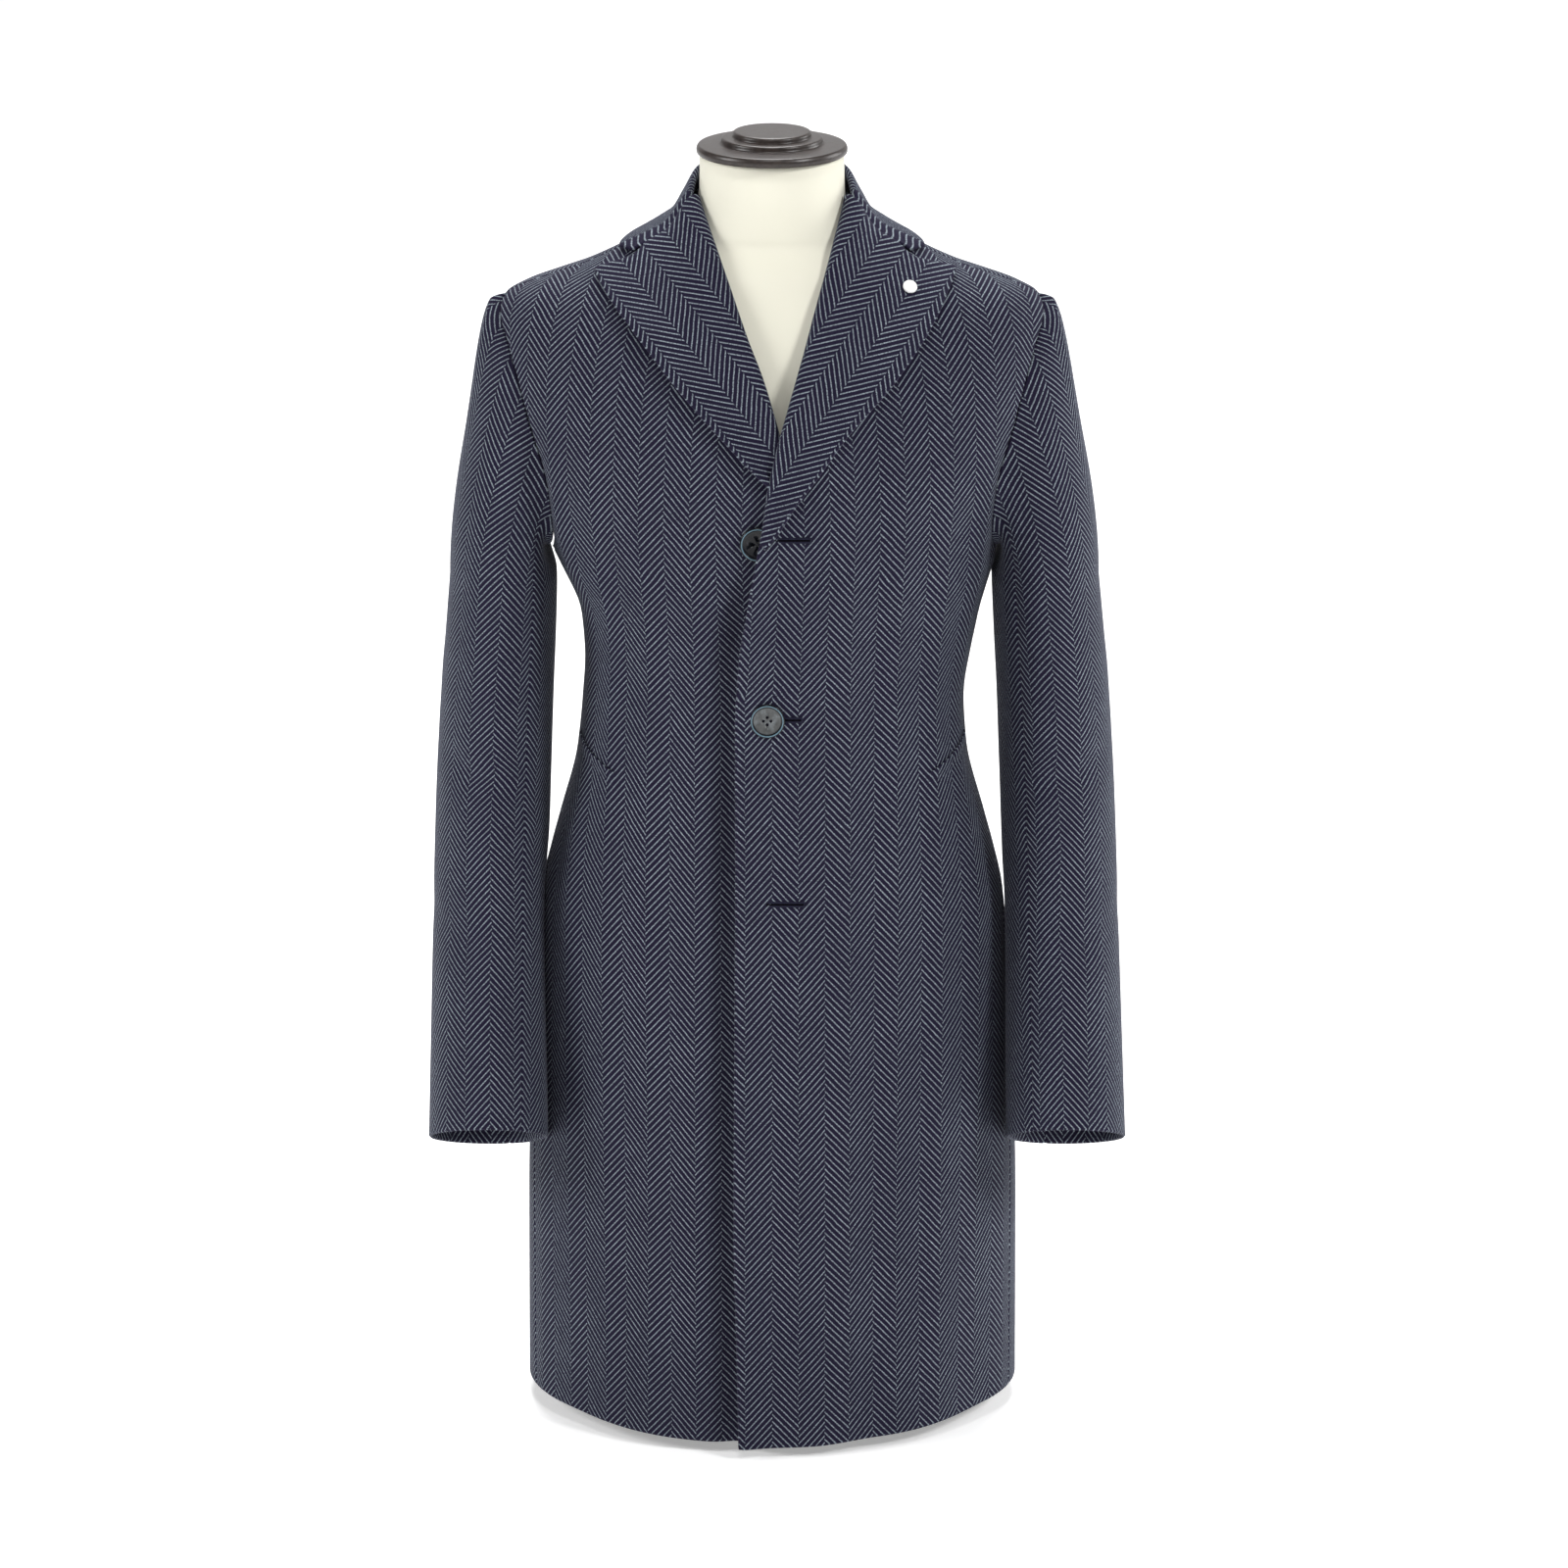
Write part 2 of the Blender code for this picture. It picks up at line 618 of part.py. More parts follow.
def collar(mat, group):
    """Collar in one piece round the back of the neck, with its two front ends."""
    half = [collar_row(np.array(row[:3]), row[3], row[4]) for row in COLLAR_ROWS]
    mirror = np.array((-1.0, 1.0, 1.0))
    rows = half + [[p * mirror for p in row] for row in reversed(half[:-1])]
    inner = []
    for i, row in enumerate(rows):
        before, after = rows[max(i - 1, 0)], rows[min(i + 1, len(rows) - 1)]
        thin = []
        for j, p in enumerate(row):
            along = after[j] - before[j]
            down = row[min(j + 1, len(row) - 1)] - row[max(j - 1, 0)]
            thin.append(p + unit(np.cross(along, down)) * WALL)
        inner.append(thin)
    return sheet("collar", rows, inner, mat, group)


def welt(side, mat, group):
    """Slanted pocket welt on the front, made from the front's own points."""
    sign = 1.0 if side == "left" else -1.0
    a0, z0, a1, z1 = POCKET
    outer, inner = [], []
    for k in range(3):
        high = WELT_HIGH * (k / 2 - 1.0)
        row_out, row_in = [], []
        for j in range(10):
            t = j / 9
            angle, z = sign * (a0 + (a1 - a0) * t), z0 + (z1 - z0) * t + high
            p, n = body_point(angle, z), body_normal(angle, z)
            row_in.append(p + n * ON_CLOTH)
            row_out.append(p + n * (ON_CLOTH + WELT_THICK))
        outer.append(row_out)
        inner.append(row_in)
    return sheet("pocket_welt_" + side, outer, inner, mat, group)


def lathe(name, profile, steps, mat, group):
    """Solid of turning: the profile lists radius and height from the bottom middle to the top middle."""
    points = [np.array((0.0, 0.0, profile[0][1]))]
    for r, z in profile[1:-1]:
        for k in range(steps):
            a = 2 * math.pi * k / steps
            points.append(np.array((r * math.cos(a), r * math.sin(a), z)))
    points.append(np.array((0.0, 0.0, profile[-1][1])))
    last = len(points) - 1
    faces = []
    for k in range(steps):
        m = (k + 1) % steps
        faces.append((0, 1 + m, 1 + k))
        top = 1 + (len(profile) - 3) * steps
        faces.append((last, top + k, top + m))
        for i in range(len(profile) - 3):
            a = 1 + i * steps
            faces.append((a + k, a + m, a + steps + m, a + steps + k))
    return add_mesh(name, points, faces, mat, group)


def seat(obj, point, normal):
    """Stand an object on a point with its axis along a direction, square to the ground."""
    right = unit(np.cross(np.array((0.0, 0.0, 1.0)), normal))
    up = np.cross(normal, right)
    for v in obj.data.vertices:
        p = np.array(v.co)
        v.co = tuple(point + right * p[0] + up * p[1] + normal * p[2])


def button(name, mat, group, cutters):
    """Dished button with a raised rim and four holes."""
    x, z, off = BUTTONS[name]
    flat = BUTTON_R - BUTTON_RIM
    profile = ((0, 0), (BUTTON_R * 0.72, 0), (BUTTON_R * 0.96, BUTTON_THICK * 0.40), (BUTTON_R, BUTTON_THICK * 0.62),
               (BUTTON_R * 0.965, BUTTON_THICK * 0.90), (BUTTON_R * 0.90, BUTTON_THICK), (flat, BUTTON_THICK * 0.93),
               (flat * 0.86, BUTTON_THICK - BUTTON_DISH), (0, BUTTON_THICK - BUTTON_DISH * 1.2))
    obj = lathe(name, profile, LATHE_STEPS, mat, group)
    for k in range(4):
        a = math.radians(90 * k + 3)
        drill = lathe(name + "_drill_" + str(k), ((0, -0.002), (HOLE_R, -0.002), (HOLE_R, BUTTON_THICK + 0.002),
                                                  (0, BUTTON_THICK + 0.002)), 10, mat, cutters)
        for v in drill.data.vertices:
            v.co.x += HOLE_OFF * math.cos(a)
            v.co.y += HOLE_OFF * math.sin(a)
        drill.hide_render = True
        drill.display_type = "WIRE"
        cut = obj.modifiers.new("hole_" + str(k), "BOOLEAN")
        cut.object = drill
        cut.operation = "DIFFERENCE"
        cut.solver = "EXACT"
        place_button(drill, x, z, off)
    place_button(obj, x, z, off)
    return obj


def place_button(obj, x, z, off):
    """Seat a button or its drill on the front."""
    angle = angle_at(x, z)
    n = body_normal(angle, z)
    seat(obj, body_point(angle, z) + n * off, n)


def lapel_button(mat, group):
    """Plain round button on the left lapel."""
    x, z = LAPEL_BUTTON
    r, h = LAPEL_BUTTON_R, LAPEL_BUTTON_HIGH
    obj = lathe("lapel_button", ((0, 0), (r * 0.90, 0), (r, h * 0.35), (r * 0.88, h * 0.75), (r * 0.55, h * 0.95),
                                 (0, h)), 28, mat, group)
    near = 0.004
    here = on_front("left", x, z, 0.0)
    n = unit(np.cross(on_front("left", x + near, z, 0.0) - here, on_front("left", x, z + near, 0.0) - here))
    if n[1] > 0:
        n = -n
    seat(obj, here + n * (LAPEL_ON + WALL - 0.0001), n)
    return obj


def form_gap(p):
    """Clearance between the cloth's inside and the form, more at the waist and the shoulder tips."""
    waist = (FORM_WAIST_GAP - FORM_SHOULDER_GAP) * ease((0.90 - p[2]) / 0.16)
    tip = FORM_TIP_GAP * ease((abs(p[0]) - 0.165) / 0.04)
    return FORM_SHOULDER_GAP + max(waist, tip)


def form_torso(mat, group):
    """Smooth limbless torso and neck in one closed body."""
    steps = 48
    heights = [FORM_BOTTOM_Z + (0.90 - FORM_BOTTOM_Z) * k / 16 for k in range(17)]
    heights += [0.910, 0.918, 0.926, 0.934, 0.942, 0.949]
    rings = []
    for z in heights:
        ring = []
        for k in range(steps):
            angle = 360.0 * k / steps
            p = body_point(angle, z)
            p = p - body_normal(angle, z) * (WALL + form_gap(p))
            ring.append(np.array((p[0], p[1], z if z < ARMPIT_Z else p[2])))
        rings.append(ring)
    for z, w, f, b in FORM_NECK:
        ring = []
        for k in range(steps):
            a = 2 * math.pi * k / steps
            c = math.cos(a)
            ring.append(np.array((w * math.sin(a), -(f if c > 0 else b) * c, z)))
        rings.append(ring)
    points = [p for ring in rings for p in ring]
    faces = []
    for i in range(len(rings) - 1):
        for k in range(steps):
            m = (k + 1) % steps
            faces.append((i * steps + k, i * steps + m, (i + 1) * steps + m, (i + 1) * steps + k))
    faces.append(tuple(range(steps - 1, -1, -1)))
    faces.append(tuple((len(rings) - 1) * steps + k for k in range(steps)))
    return add_mesh("form_torso", points, faces, mat, group)


def dress_form(group):
    """Torso, neck cap, pole and base that the coat hangs on."""
    cream = material("form_cream", FORM_COLOUR, 0.7)
    dark = material("cap_dark", CAP_COLOUR, 0.35)
    steel = material("stand_steel", METAL_COLOUR, 0.35, 1.0)
    form_torso(cream, group)
    profile = [(0.0, CAP_STEPS[0][0])] + [(r, z) for z, r in CAP_STEPS] + [(0.0, CAP_STEPS[-1][0])]
    lathe("form_cap", profile, 48, dark, group)
    low, high = BASE_THICK + 0.0003, FORM_BOTTOM_Z - 0.0003
    lathe("form_pole", ((0, low), (POLE_R, low), (POLE_R, high), (0, high)), 32, steel, group)
    lathe("form_base", ((0, 0), (BASE_R * 0.985, 0), (BASE_R, 0.002), (BASE_R, BASE_THICK - 0.002),
                        (BASE_R * 0.975, BASE_THICK), (0, BASE_THICK)), 64, steel, group)


def main():
    """Build the coat and its form."""
    for obj in list(bpy.data.objects):
        bpy.data.objects.remove(obj, do_unlink=True)
    group = bpy.data.collections.new("overcoat_on_dress_form")
    cutters = bpy.data.collections.new("button_drills")
    bpy.context.scene.collection.children.link(group)
    bpy.context.scene.collection.children.link(cutters)
    cloth = material("coat_cloth", CLOTH_COLOUR, 0.9)
    horn = material("button_horn", BUTTON_COLOUR, 0.3)
    white = material("lapel_button_white", WHITE_COLOUR, 0.4)
    for side in ("left", "right"):
        front_panel(side, cloth, group)
        lapel(side, cloth, group)
        welt(side, cloth, group)
    back_panel(cloth, group)
    sleeves(cloth, group)
    collar(cloth, group)
    for name in BUTTONS:
        button(name, horn, group, cutters)
    lapel_button(white, group)
    dress_form(group)


main()
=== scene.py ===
"""Herringbone overcoat on a limbless dress form: the look of every piece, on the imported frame."""

import logging
import math
from dataclasses import dataclass, field
from enum import Enum

import bmesh
import bpy
import numpy as np
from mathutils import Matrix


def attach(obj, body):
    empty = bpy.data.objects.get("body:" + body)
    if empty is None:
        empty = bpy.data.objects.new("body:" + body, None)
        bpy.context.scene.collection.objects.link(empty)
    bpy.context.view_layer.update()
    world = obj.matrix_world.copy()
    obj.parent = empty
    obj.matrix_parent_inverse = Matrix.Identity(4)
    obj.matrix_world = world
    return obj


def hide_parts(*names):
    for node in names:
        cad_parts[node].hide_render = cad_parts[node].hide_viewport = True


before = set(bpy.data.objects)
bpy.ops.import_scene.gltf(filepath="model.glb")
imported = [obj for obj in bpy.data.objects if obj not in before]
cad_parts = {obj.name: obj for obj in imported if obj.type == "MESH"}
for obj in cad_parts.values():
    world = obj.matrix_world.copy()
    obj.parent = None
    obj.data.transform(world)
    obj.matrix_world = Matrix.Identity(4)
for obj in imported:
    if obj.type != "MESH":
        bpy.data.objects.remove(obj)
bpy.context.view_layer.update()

logging.basicConfig(level=logging.INFO, format="%(message)s")
LOG = logging.getLogger("overcoat")

Array = np.ndarray
Table = tuple[tuple[float, ...], ...]
Colour = tuple[float, float, float, float]


class Side(Enum):
    """Side of the coat, as its wearer has it."""

    LEFT = "left"
    RIGHT = "right"

    @property
    def sign(self) -> float:
        """Direction along X.

        Returns:
            1 for the left side and -1 for the right.
        """
        return 1.0 if self is Side.LEFT else -1.0


def smooth_through(xs: Array, ys: Array, x: Array) -> Array:
    """Read a smooth curve through points, one that never overshoots them.

    Args:
        xs: Rising places of the points.
        ys: Values at those places.
        x: Places to read at.

    Returns:
        The values there.
    """
    xs, ys = np.asarray(xs, float), np.asarray(ys, float)
    x = np.clip(np.asarray(x, float), xs[0], xs[-1])
    step = np.diff(xs)
    slope = np.diff(ys) / step
    turn = np.zeros(len(xs))
    turn[0], turn[-1] = slope[0], slope[-1]
    both = slope[:-1] * slope[1:]
    turn[1:-1] = np.where(both > 0, 2 * both / np.where(both > 0, slope[:-1] + slope[1:], 1.0), 0.0)
    i = np.clip(np.searchsorted(xs, x) - 1, 0, len(xs) - 2)
    t, h = (x - xs[i]) / step[i], step[i]
    return (ys[i] * (1 + 2 * t) * (1 - t) ** 2 + h * turn[i] * t * (1 - t) ** 2
            + ys[i + 1] * t * t * (3 - 2 * t) + h * turn[i + 1] * t * t * (t - 1))


def read(table: Table, x: Array, k: int) -> Array:
    """Read column k of a table at places in its first column.

    Args:
        table: Rows that start with a rising place.
        x: Places to read at.
        k: Column.

    Returns:
        The values there.
    """
    rows = np.asarray(table, float)
    return smooth_through(rows[:, 0], rows[:, k], x)


def smooth_rows(xs: Array, rows: Array, x: Array) -> Array:
    """Read between rows of values, column by column.

    Args:
        xs: Rising places of the rows.
        rows: Values by row, in any shape.
        x: Places to read at.

    Returns:
        Values by place.
    """
    flat = rows.reshape(len(rows), -1)
    out = np.stack([smooth_through(xs, flat[:, k], x) for k in range(flat.shape[1])], axis=1)
    return out.reshape((len(x),) + rows.shape[1:])


def ease(t: Array) -> Array:
    """Soft step.

    Args:
        t: Share of the way.

    Returns:
        0 before the step and 1 after it.
    """
    t = np.clip(t, 0.0, 1.0)
    return t * t * (3 - 2 * t)


def unit(v: Array) -> Array:
    """Scale vectors to length one.

    Args:
        v: Vectors in the last axis.

    Returns:
        The same directions.
    """
    return v / np.maximum(np.linalg.norm(v, axis=-1, keepdims=True), 1e-12)


def turn_off(angle: Array, middle: float) -> Array:
    """Angle from a middle one, the short way round.

    Args:
        angle: Angles in degrees.
        middle: Angle to measure from.

    Returns:
        Differences from -180 to 180.
    """
    return (angle - middle + 180.0) % 360.0 - 180.0


def grid_normals(grid: Array) -> Array:
    """Directions square to a grid of points.

    Args:
        grid: Points by row and column.

    Returns:
        One unit vector for each point.
    """
    down = np.gradient(grid, axis=0)
    over = np.gradient(grid, axis=1)
    return unit(np.cross(over, down))


def uneven_steps(count: int, edge: float) -> Array:
    """Shares from 0 to 1 with one narrow step at each end, so that edges stay crisp.

    Args:
        count: Number of steps between the narrow ones.
        edge: Share taken by each narrow step.

    Returns:
        Rising shares.
    """
    return np.concatenate(([0.0], np.linspace(edge, 1.0 - edge, count + 1), [1.0]))


def bell(x: Array, half: float) -> Array:
    """Soft bump that is 1 in its middle.

    Args:
        x: Distances from the middle.
        half: Distance where about a third is left.

    Returns:
        Values from 0 to 1.
    """
    return np.exp(-(x / half) ** 2)


def run_along(points: Array) -> Array:
    """Distance run along a line at each of its points.

    Args:
        points: Points along the first axis.

    Returns:
        Rising distances from 0.
    """
    return np.concatenate(([0.0], np.cumsum(np.linalg.norm(np.diff(points, axis=0), axis=-1))))


def unrolled(grid: Array, middle: int) -> Array:
    """Lay a form flat row by row, level distances across and the rest upward.

    Args:
        grid: Points by row and column.
        middle: Column that the distances across are measured from.

    Returns:
        Distance across and up from the first row in the last axis.
    """
    step = np.linalg.norm(np.diff(grid[..., :2], axis=1), axis=-1)
    u = np.concatenate((np.zeros((len(grid), 1)), np.cumsum(step, axis=1)), axis=1)
    u = u - u[:, middle:middle + 1]
    rise = np.linalg.norm(np.diff(grid, axis=0), axis=-1) ** 2 - np.diff(u, axis=0) ** 2
    rise = np.cumsum(np.sqrt(np.maximum(rise, 1e-12)), axis=0)
    return np.stack((u, np.concatenate((np.zeros((1, u.shape[1])), rise))), axis=-1)


def spline(points: Array, count: int) -> Array:
    """Smooth line through points, in even steps from point to point.

    Args:
        points: Points along the first axis.
        count: Number of points to return.

    Returns:
        Points along the first axis.
    """
    p = np.asarray(points, float)
    t = np.linspace(0, len(p) - 1, count)
    i = np.minimum(t.astype(int), len(p) - 2)
    s = (t - i).reshape((-1,) + (1,) * (p.ndim - 1))
    pad = np.concatenate((2 * p[:1] - p[1:2], p, 2 * p[-1:] - p[-2:-1]))
    a, b, c, d = pad[i], pad[i + 1], pad[i + 2], pad[i + 3]
    bend, twist = 2 * a - 5 * b + 4 * c - d, 3 * b - a - 3 * c + d
    return 0.5 * (2 * b + (c - a) * s + bend * s ** 2 + twist * s ** 3)


@dataclass
class CoatShape:
    """Outside form of the coat's body, by angle from centre front and height."""

    hem_z: float = 0.010
    armpit_z: float = 0.712
    tip_z: float = 0.918
    neck_z: float = 0.990
    wall: float = 0.0026
    lap_lift: float = 0.0078
    lap_full_x: float = 0.030
    lap_end_x: float = 0.085
    lap_fade_z: tuple[float, float] = (0.820, 0.950)
    # height, half width, front depth, back depth, roundness
    rings: Table = (
        (0.010, 0.1975, 0.152, 0.150, 1.95), (0.180, 0.1968, 0.150, 0.150, 1.98),
        (0.300, 0.1930, 0.144, 0.147, 2.05), (0.380, 0.1885, 0.139, 0.142, 2.12),
        (0.430, 0.1845, 0.134, 0.136, 2.20), (0.465, 0.1768, 0.130, 0.129, 2.25),
        (0.490, 0.1700, 0.128, 0.124, 2.30), (0.550, 0.1550, 0.122, 0.109, 2.30),
        (0.600, 0.1515, 0.120, 0.101, 2.30), (0.660, 0.1575, 0.123, 0.104, 2.35),
        (0.712, 0.1750, 0.127, 0.112, 2.40), (0.760, 0.1900, 0.127, 0.118, 2.40),
        (0.800, 0.2010, 0.123, 0.121, 2.40), (0.840, 0.2100, 0.115, 0.120, 2.30),
        (0.870, 0.2145, 0.105, 0.115, 2.20), (0.900, 0.2160, 0.090, 0.105, 2.10),
        (0.915, 0.2110, 0.081, 0.098, 2.00), (0.924, 0.1965, 0.075, 0.093, 2.00),
        (0.932, 0.1745, 0.070, 0.088, 2.00), (0.940, 0.1508, 0.066, 0.084, 2.00),
        (0.955, 0.1180, 0.058, 0.077, 2.00), (0.971, 0.0880, 0.052, 0.070, 2.00),
        (0.985, 0.0720, 0.049, 0.065, 2.00), (1.000, 0.0660, 0.048, 0.062, 2.00),
    )
    hem_rise: float = 0.0080
    hem_rise_high: float = 0.120
    # height, how far the sides lean to the left
    lean: Table = (
        (0.550, 0.0), (0.590, 0.0008), (0.632, 0.0046), (0.670, 0.0064), (0.696, 0.0046), (0.720, 0.0014),
        (0.745, 0.0),
    )
    # angle from centre front, half angle, depth outward, height where it dies out
    flutes: Table = (
        (34.0, 11.0, 0.0030, 0.36), (58.0, 9.0, -0.0022, 0.42), (112.0, 13.0, 0.0040, 0.45),
        (140.0, 12.0, -0.0036, 0.40), (166.0, 11.0, 0.0034, 0.36), (-29.0, 12.0, 0.0026, 0.33),
        (-55.0, 10.0, -0.0024, 0.40), (-108.0, 12.0, 0.0036, 0.43), (-136.0, 13.0, -0.0034, 0.42),
        (-160.0, 10.0, 0.0030, 0.35),
    )
    # share of a crease's depth that is left at its ends
    crease_end: float = 0.35
    # angle and height of one end, angle and height of the other, half width, depth
    creases: Table = (
        (63.0, 0.812, 76.0, 0.724, 0.0120, -0.0045), (-63.0, 0.815, -77.0, 0.722, 0.0125, -0.0048),
        (57.0, 0.770, 40.0, 0.700, 0.0150, -0.0014), (-56.0, 0.765, -41.0, 0.690, 0.0160, -0.0016),
        (20.0, 0.612, 62.0, 0.640, 0.0130, -0.0012), (-20.0, 0.608, -60.0, 0.632, 0.0140, -0.0013),
        (22.0, 0.590, 55.0, 0.570, 0.0150, 0.0010), (-24.0, 0.588, -54.0, 0.574, 0.0150, 0.0010),
        (46.0, 0.520, 50.0, 0.380, 0.0140, -0.0014), (-45.0, 0.525, -52.0, 0.390, 0.0140, -0.0014),
        (30.0, 0.260, 33.0, 0.060, 0.0300, -0.0022), (16.0, 0.200, 15.0, 0.040, 0.0240, 0.0014),
        (-33.0, 0.300, -36.0, 0.060, 0.0260, -0.0018), (-22.0, 0.420, -20.0, 0.120, 0.0260, 0.0016),
        (150.0, 0.640, 178.0, 0.610, 0.0160, -0.0016), (-150.0, 0.645, -176.0, 0.605, 0.0170, -0.0018),
        (128.0, 0.780, 142.0, 0.690, 0.0150, -0.0018), (-127.0, 0.775, -140.0, 0.695, 0.0150, -0.0016),
        (165.0, 0.560, 160.0, 0.300, 0.0260, 0.0018), (-150.0, 0.520, -156.0, 0.260, 0.0240, -0.0018),
    )
    # height, free edge then roll line of the left front, the same of the right front
    edges: Table = (
        (0.010, -0.0245, 0.0245), (0.084, -0.0257, 0.0250), (0.190, -0.0278, 0.0265),
        (0.450, -0.0268, 0.0265), (0.600, -0.0266, 0.0260), (0.658, -0.0235, 0.0260),
        (0.694, -0.0180, 0.0260), (0.725, -0.0127, 0.0258), (0.746, -0.0089, 0.0252),
        (0.762, -0.0043, 0.0228), (0.785, 0.0003, 0.0175), (0.818, 0.0079, 0.0070), (0.856, 0.0193, -0.0053),
        (0.900, 0.0330, -0.0233), (0.944, 0.0467, -0.0409), (0.978, 0.0560, -0.0530),
        (0.990, 0.0595, -0.0585),
    )
    # height, angle of the side seam
    side_seam: Table = ((0.010, 76.0), (0.200, 77.0), (0.420, 83.0), (0.600, 89.0), (0.712, 92.0))
    # height, angle of the armhole seam on the front and on the back
    armhole: Table = (
        (0.712, 92.0, 92.0), (0.718, 81.5, 102.0), (0.729, 73.5, 109.5), (0.748, 67.5, 115.5),
        (0.775, 65.0, 118.5), (0.805, 64.8, 119.0), (0.835, 65.5, 118.0), (0.862, 68.5, 115.0),
        (0.886, 74.0, 109.0), (0.904, 81.5, 100.5), (0.918, 90.0, 90.0),
    )
    grain_z: Array = field(init=False)
    grain_angle: Array = field(init=False)
    grain_flat: Array = field(init=False)

    def __post_init__(self) -> None:
        """Unroll the body into its flat cut once."""
        self.grain_z = np.linspace(self.hem_z - 0.004, 1.0, 400)
        self.grain_angle = np.linspace(-182.0, 182.0, 729)
        a, z = np.meshgrid(self.grain_angle, self.grain_z)
        self.grain_flat = unrolled(self.point(a, z), int(np.argmin(abs(self.grain_angle))))

    def grain(self, angle: Array, z: Array) -> Array:
        """Place on the flat cut, from centre front and the hem, in metres.

        Args:
            angle: Angles from centre front.
            z: Heights.

        Returns:
            Distance across and along the grain in the last axis.
        """
        zs, turns, g = self.grain_z, self.grain_angle, self.grain_flat
        zi = (np.clip(z, zs[0], zs[-1]) - zs[0]) / (zs[1] - zs[0])
        ai = (angle - turns[0]) / (turns[1] - turns[0])
        i = np.clip(zi.astype(int), 0, len(zs) - 2)
        j = np.clip(ai.astype(int), 0, len(turns) - 2)
        s, t = (zi - i)[..., None], (ai - j)[..., None]
        low = g[i, j] * (1 - t) + g[i, j + 1] * t
        high = g[i + 1, j] * (1 - t) + g[i + 1, j + 1] * t
        return low * (1 - s) + high * s

    def point(self, angle: Array, z: Array) -> Array:
        """Points on the outside of the body cloth.

        Args:
            angle: Angles in degrees from centre front towards the left side.
            z: Heights.

        Returns:
            Points in the last axis.
        """
        w, f, b, n = (read(self.rings, z, k) for k in range(1, 5))
        a = np.radians(angle)
        s, c = np.sin(a), np.cos(a)
        x = w * np.sign(s) * abs(s) ** (2 / n)
        y = -np.where(c > 0, f, b) * np.sign(c) * abs(c) ** (2 / n)
        out = np.zeros_like(x)
        for middle, half, depth, top in self.flutes:
            fade = ease((top - z) / (top - self.hem_z))
            out += depth * bell(turn_off(angle, middle), half) * fade
        scale = 1.0 + out / np.maximum(np.hypot(x, y), 1e-6)
        lean = read(self.lean, z, 1) * (x / w) ** 2
        rise = self.hem_rise * s * s * ease((self.hem_z + self.hem_rise_high - z) / self.hem_rise_high)
        return np.stack((x * scale + lean, y * scale, z + rise), axis=-1)

    def normal(self, angle: Array, z: Array) -> Array:
        """Outward directions of the body cloth.

        Args:
            angle: Angles from centre front.
            z: Heights.

        Returns:
            Unit vectors.
        """
        da, dz = 0.4, 0.0012
        across = self.point(angle + da, z) - self.point(angle - da, z)
        up = self.point(angle, z + dz) - self.point(angle, z - dz)
        return unit(np.cross(across, up))

    def angle_at(self, x: Array, z: Array) -> Array:
        """Angles of front points.

        Args:
            x: Distances out from centre.
            z: Heights.

        Returns:
            Angles from centre front.
        """
        w, n = read(self.rings, z, 1), read(self.rings, z, 4)
        return np.sign(x) * np.degrees(np.arcsin(np.clip(abs(x) / w, 0.0, 1.0) ** (n / 2)))

    def lift(self, x: Array, z: Array) -> Array:
        """How far the left front stands off where it lies on the right one, dying out above the break.

        Args:
            x: Distances out from centre.
            z: Heights.

        Returns:
            Distances outward.
        """
        low, high = self.lap_fade_z
        near = ease((self.lap_end_x - x) / (self.lap_end_x - self.lap_full_x))
        return self.lap_lift * near * (1 - ease((z - low) / (high - low)))

    def limit(self, z: Array, k: int) -> Array:
        """Outer limit of a panel: side seam, armhole, then shoulder seam.

        Args:
            z: Heights.
            k: 1 for a front and 2 for the back.

        Returns:
            Angles on the left side.
        """
        low = read(self.side_seam, z, 1)
        arm = np.interp(z, [r[0] for r in self.armhole], [r[k] for r in self.armhole])
        return np.where(z <= self.armpit_z, low, np.where(z <= self.tip_z, arm, 90.0))

    def crease(self, angle: Array, z: Array) -> Array:
        """Outward shift of the listed creases.

        Args:
            angle: Angles from centre front.
            z: Heights.

        Returns:
            Distances outward.
        """
        out = np.zeros(np.broadcast(angle, z).shape)
        here = self.grain(turn_off(angle, 0.0), z)
        for a0, z0, a1, z1, half, depth in self.creases:
            ends = self.grain(np.array((a0, a1)), np.array((z0, z1)))
            along = ends[1] - ends[0]
            length = float(np.linalg.norm(along))
            t = np.clip(((here - ends[0]) @ along) / length ** 2, 0.0, 1.0)
            off = np.linalg.norm(here - ends[0] - t[..., None] * along, axis=-1)
            swell = self.crease_end + (1 - self.crease_end) * np.sin(math.pi * np.clip(t, 0.02, 0.98))
            out += depth * bell(off, half) * swell
        return out


def in_scene(name: str, data: bpy.types.ID) -> bpy.types.Object:
    """Add an object to the scene.

    Args:
        name: Object name.
        data: Mesh, light or camera.

    Returns:
        The new object.
    """
    obj = bpy.data.objects.new(name, data)
    bpy.context.scene.collection.objects.link(obj)
    return obj


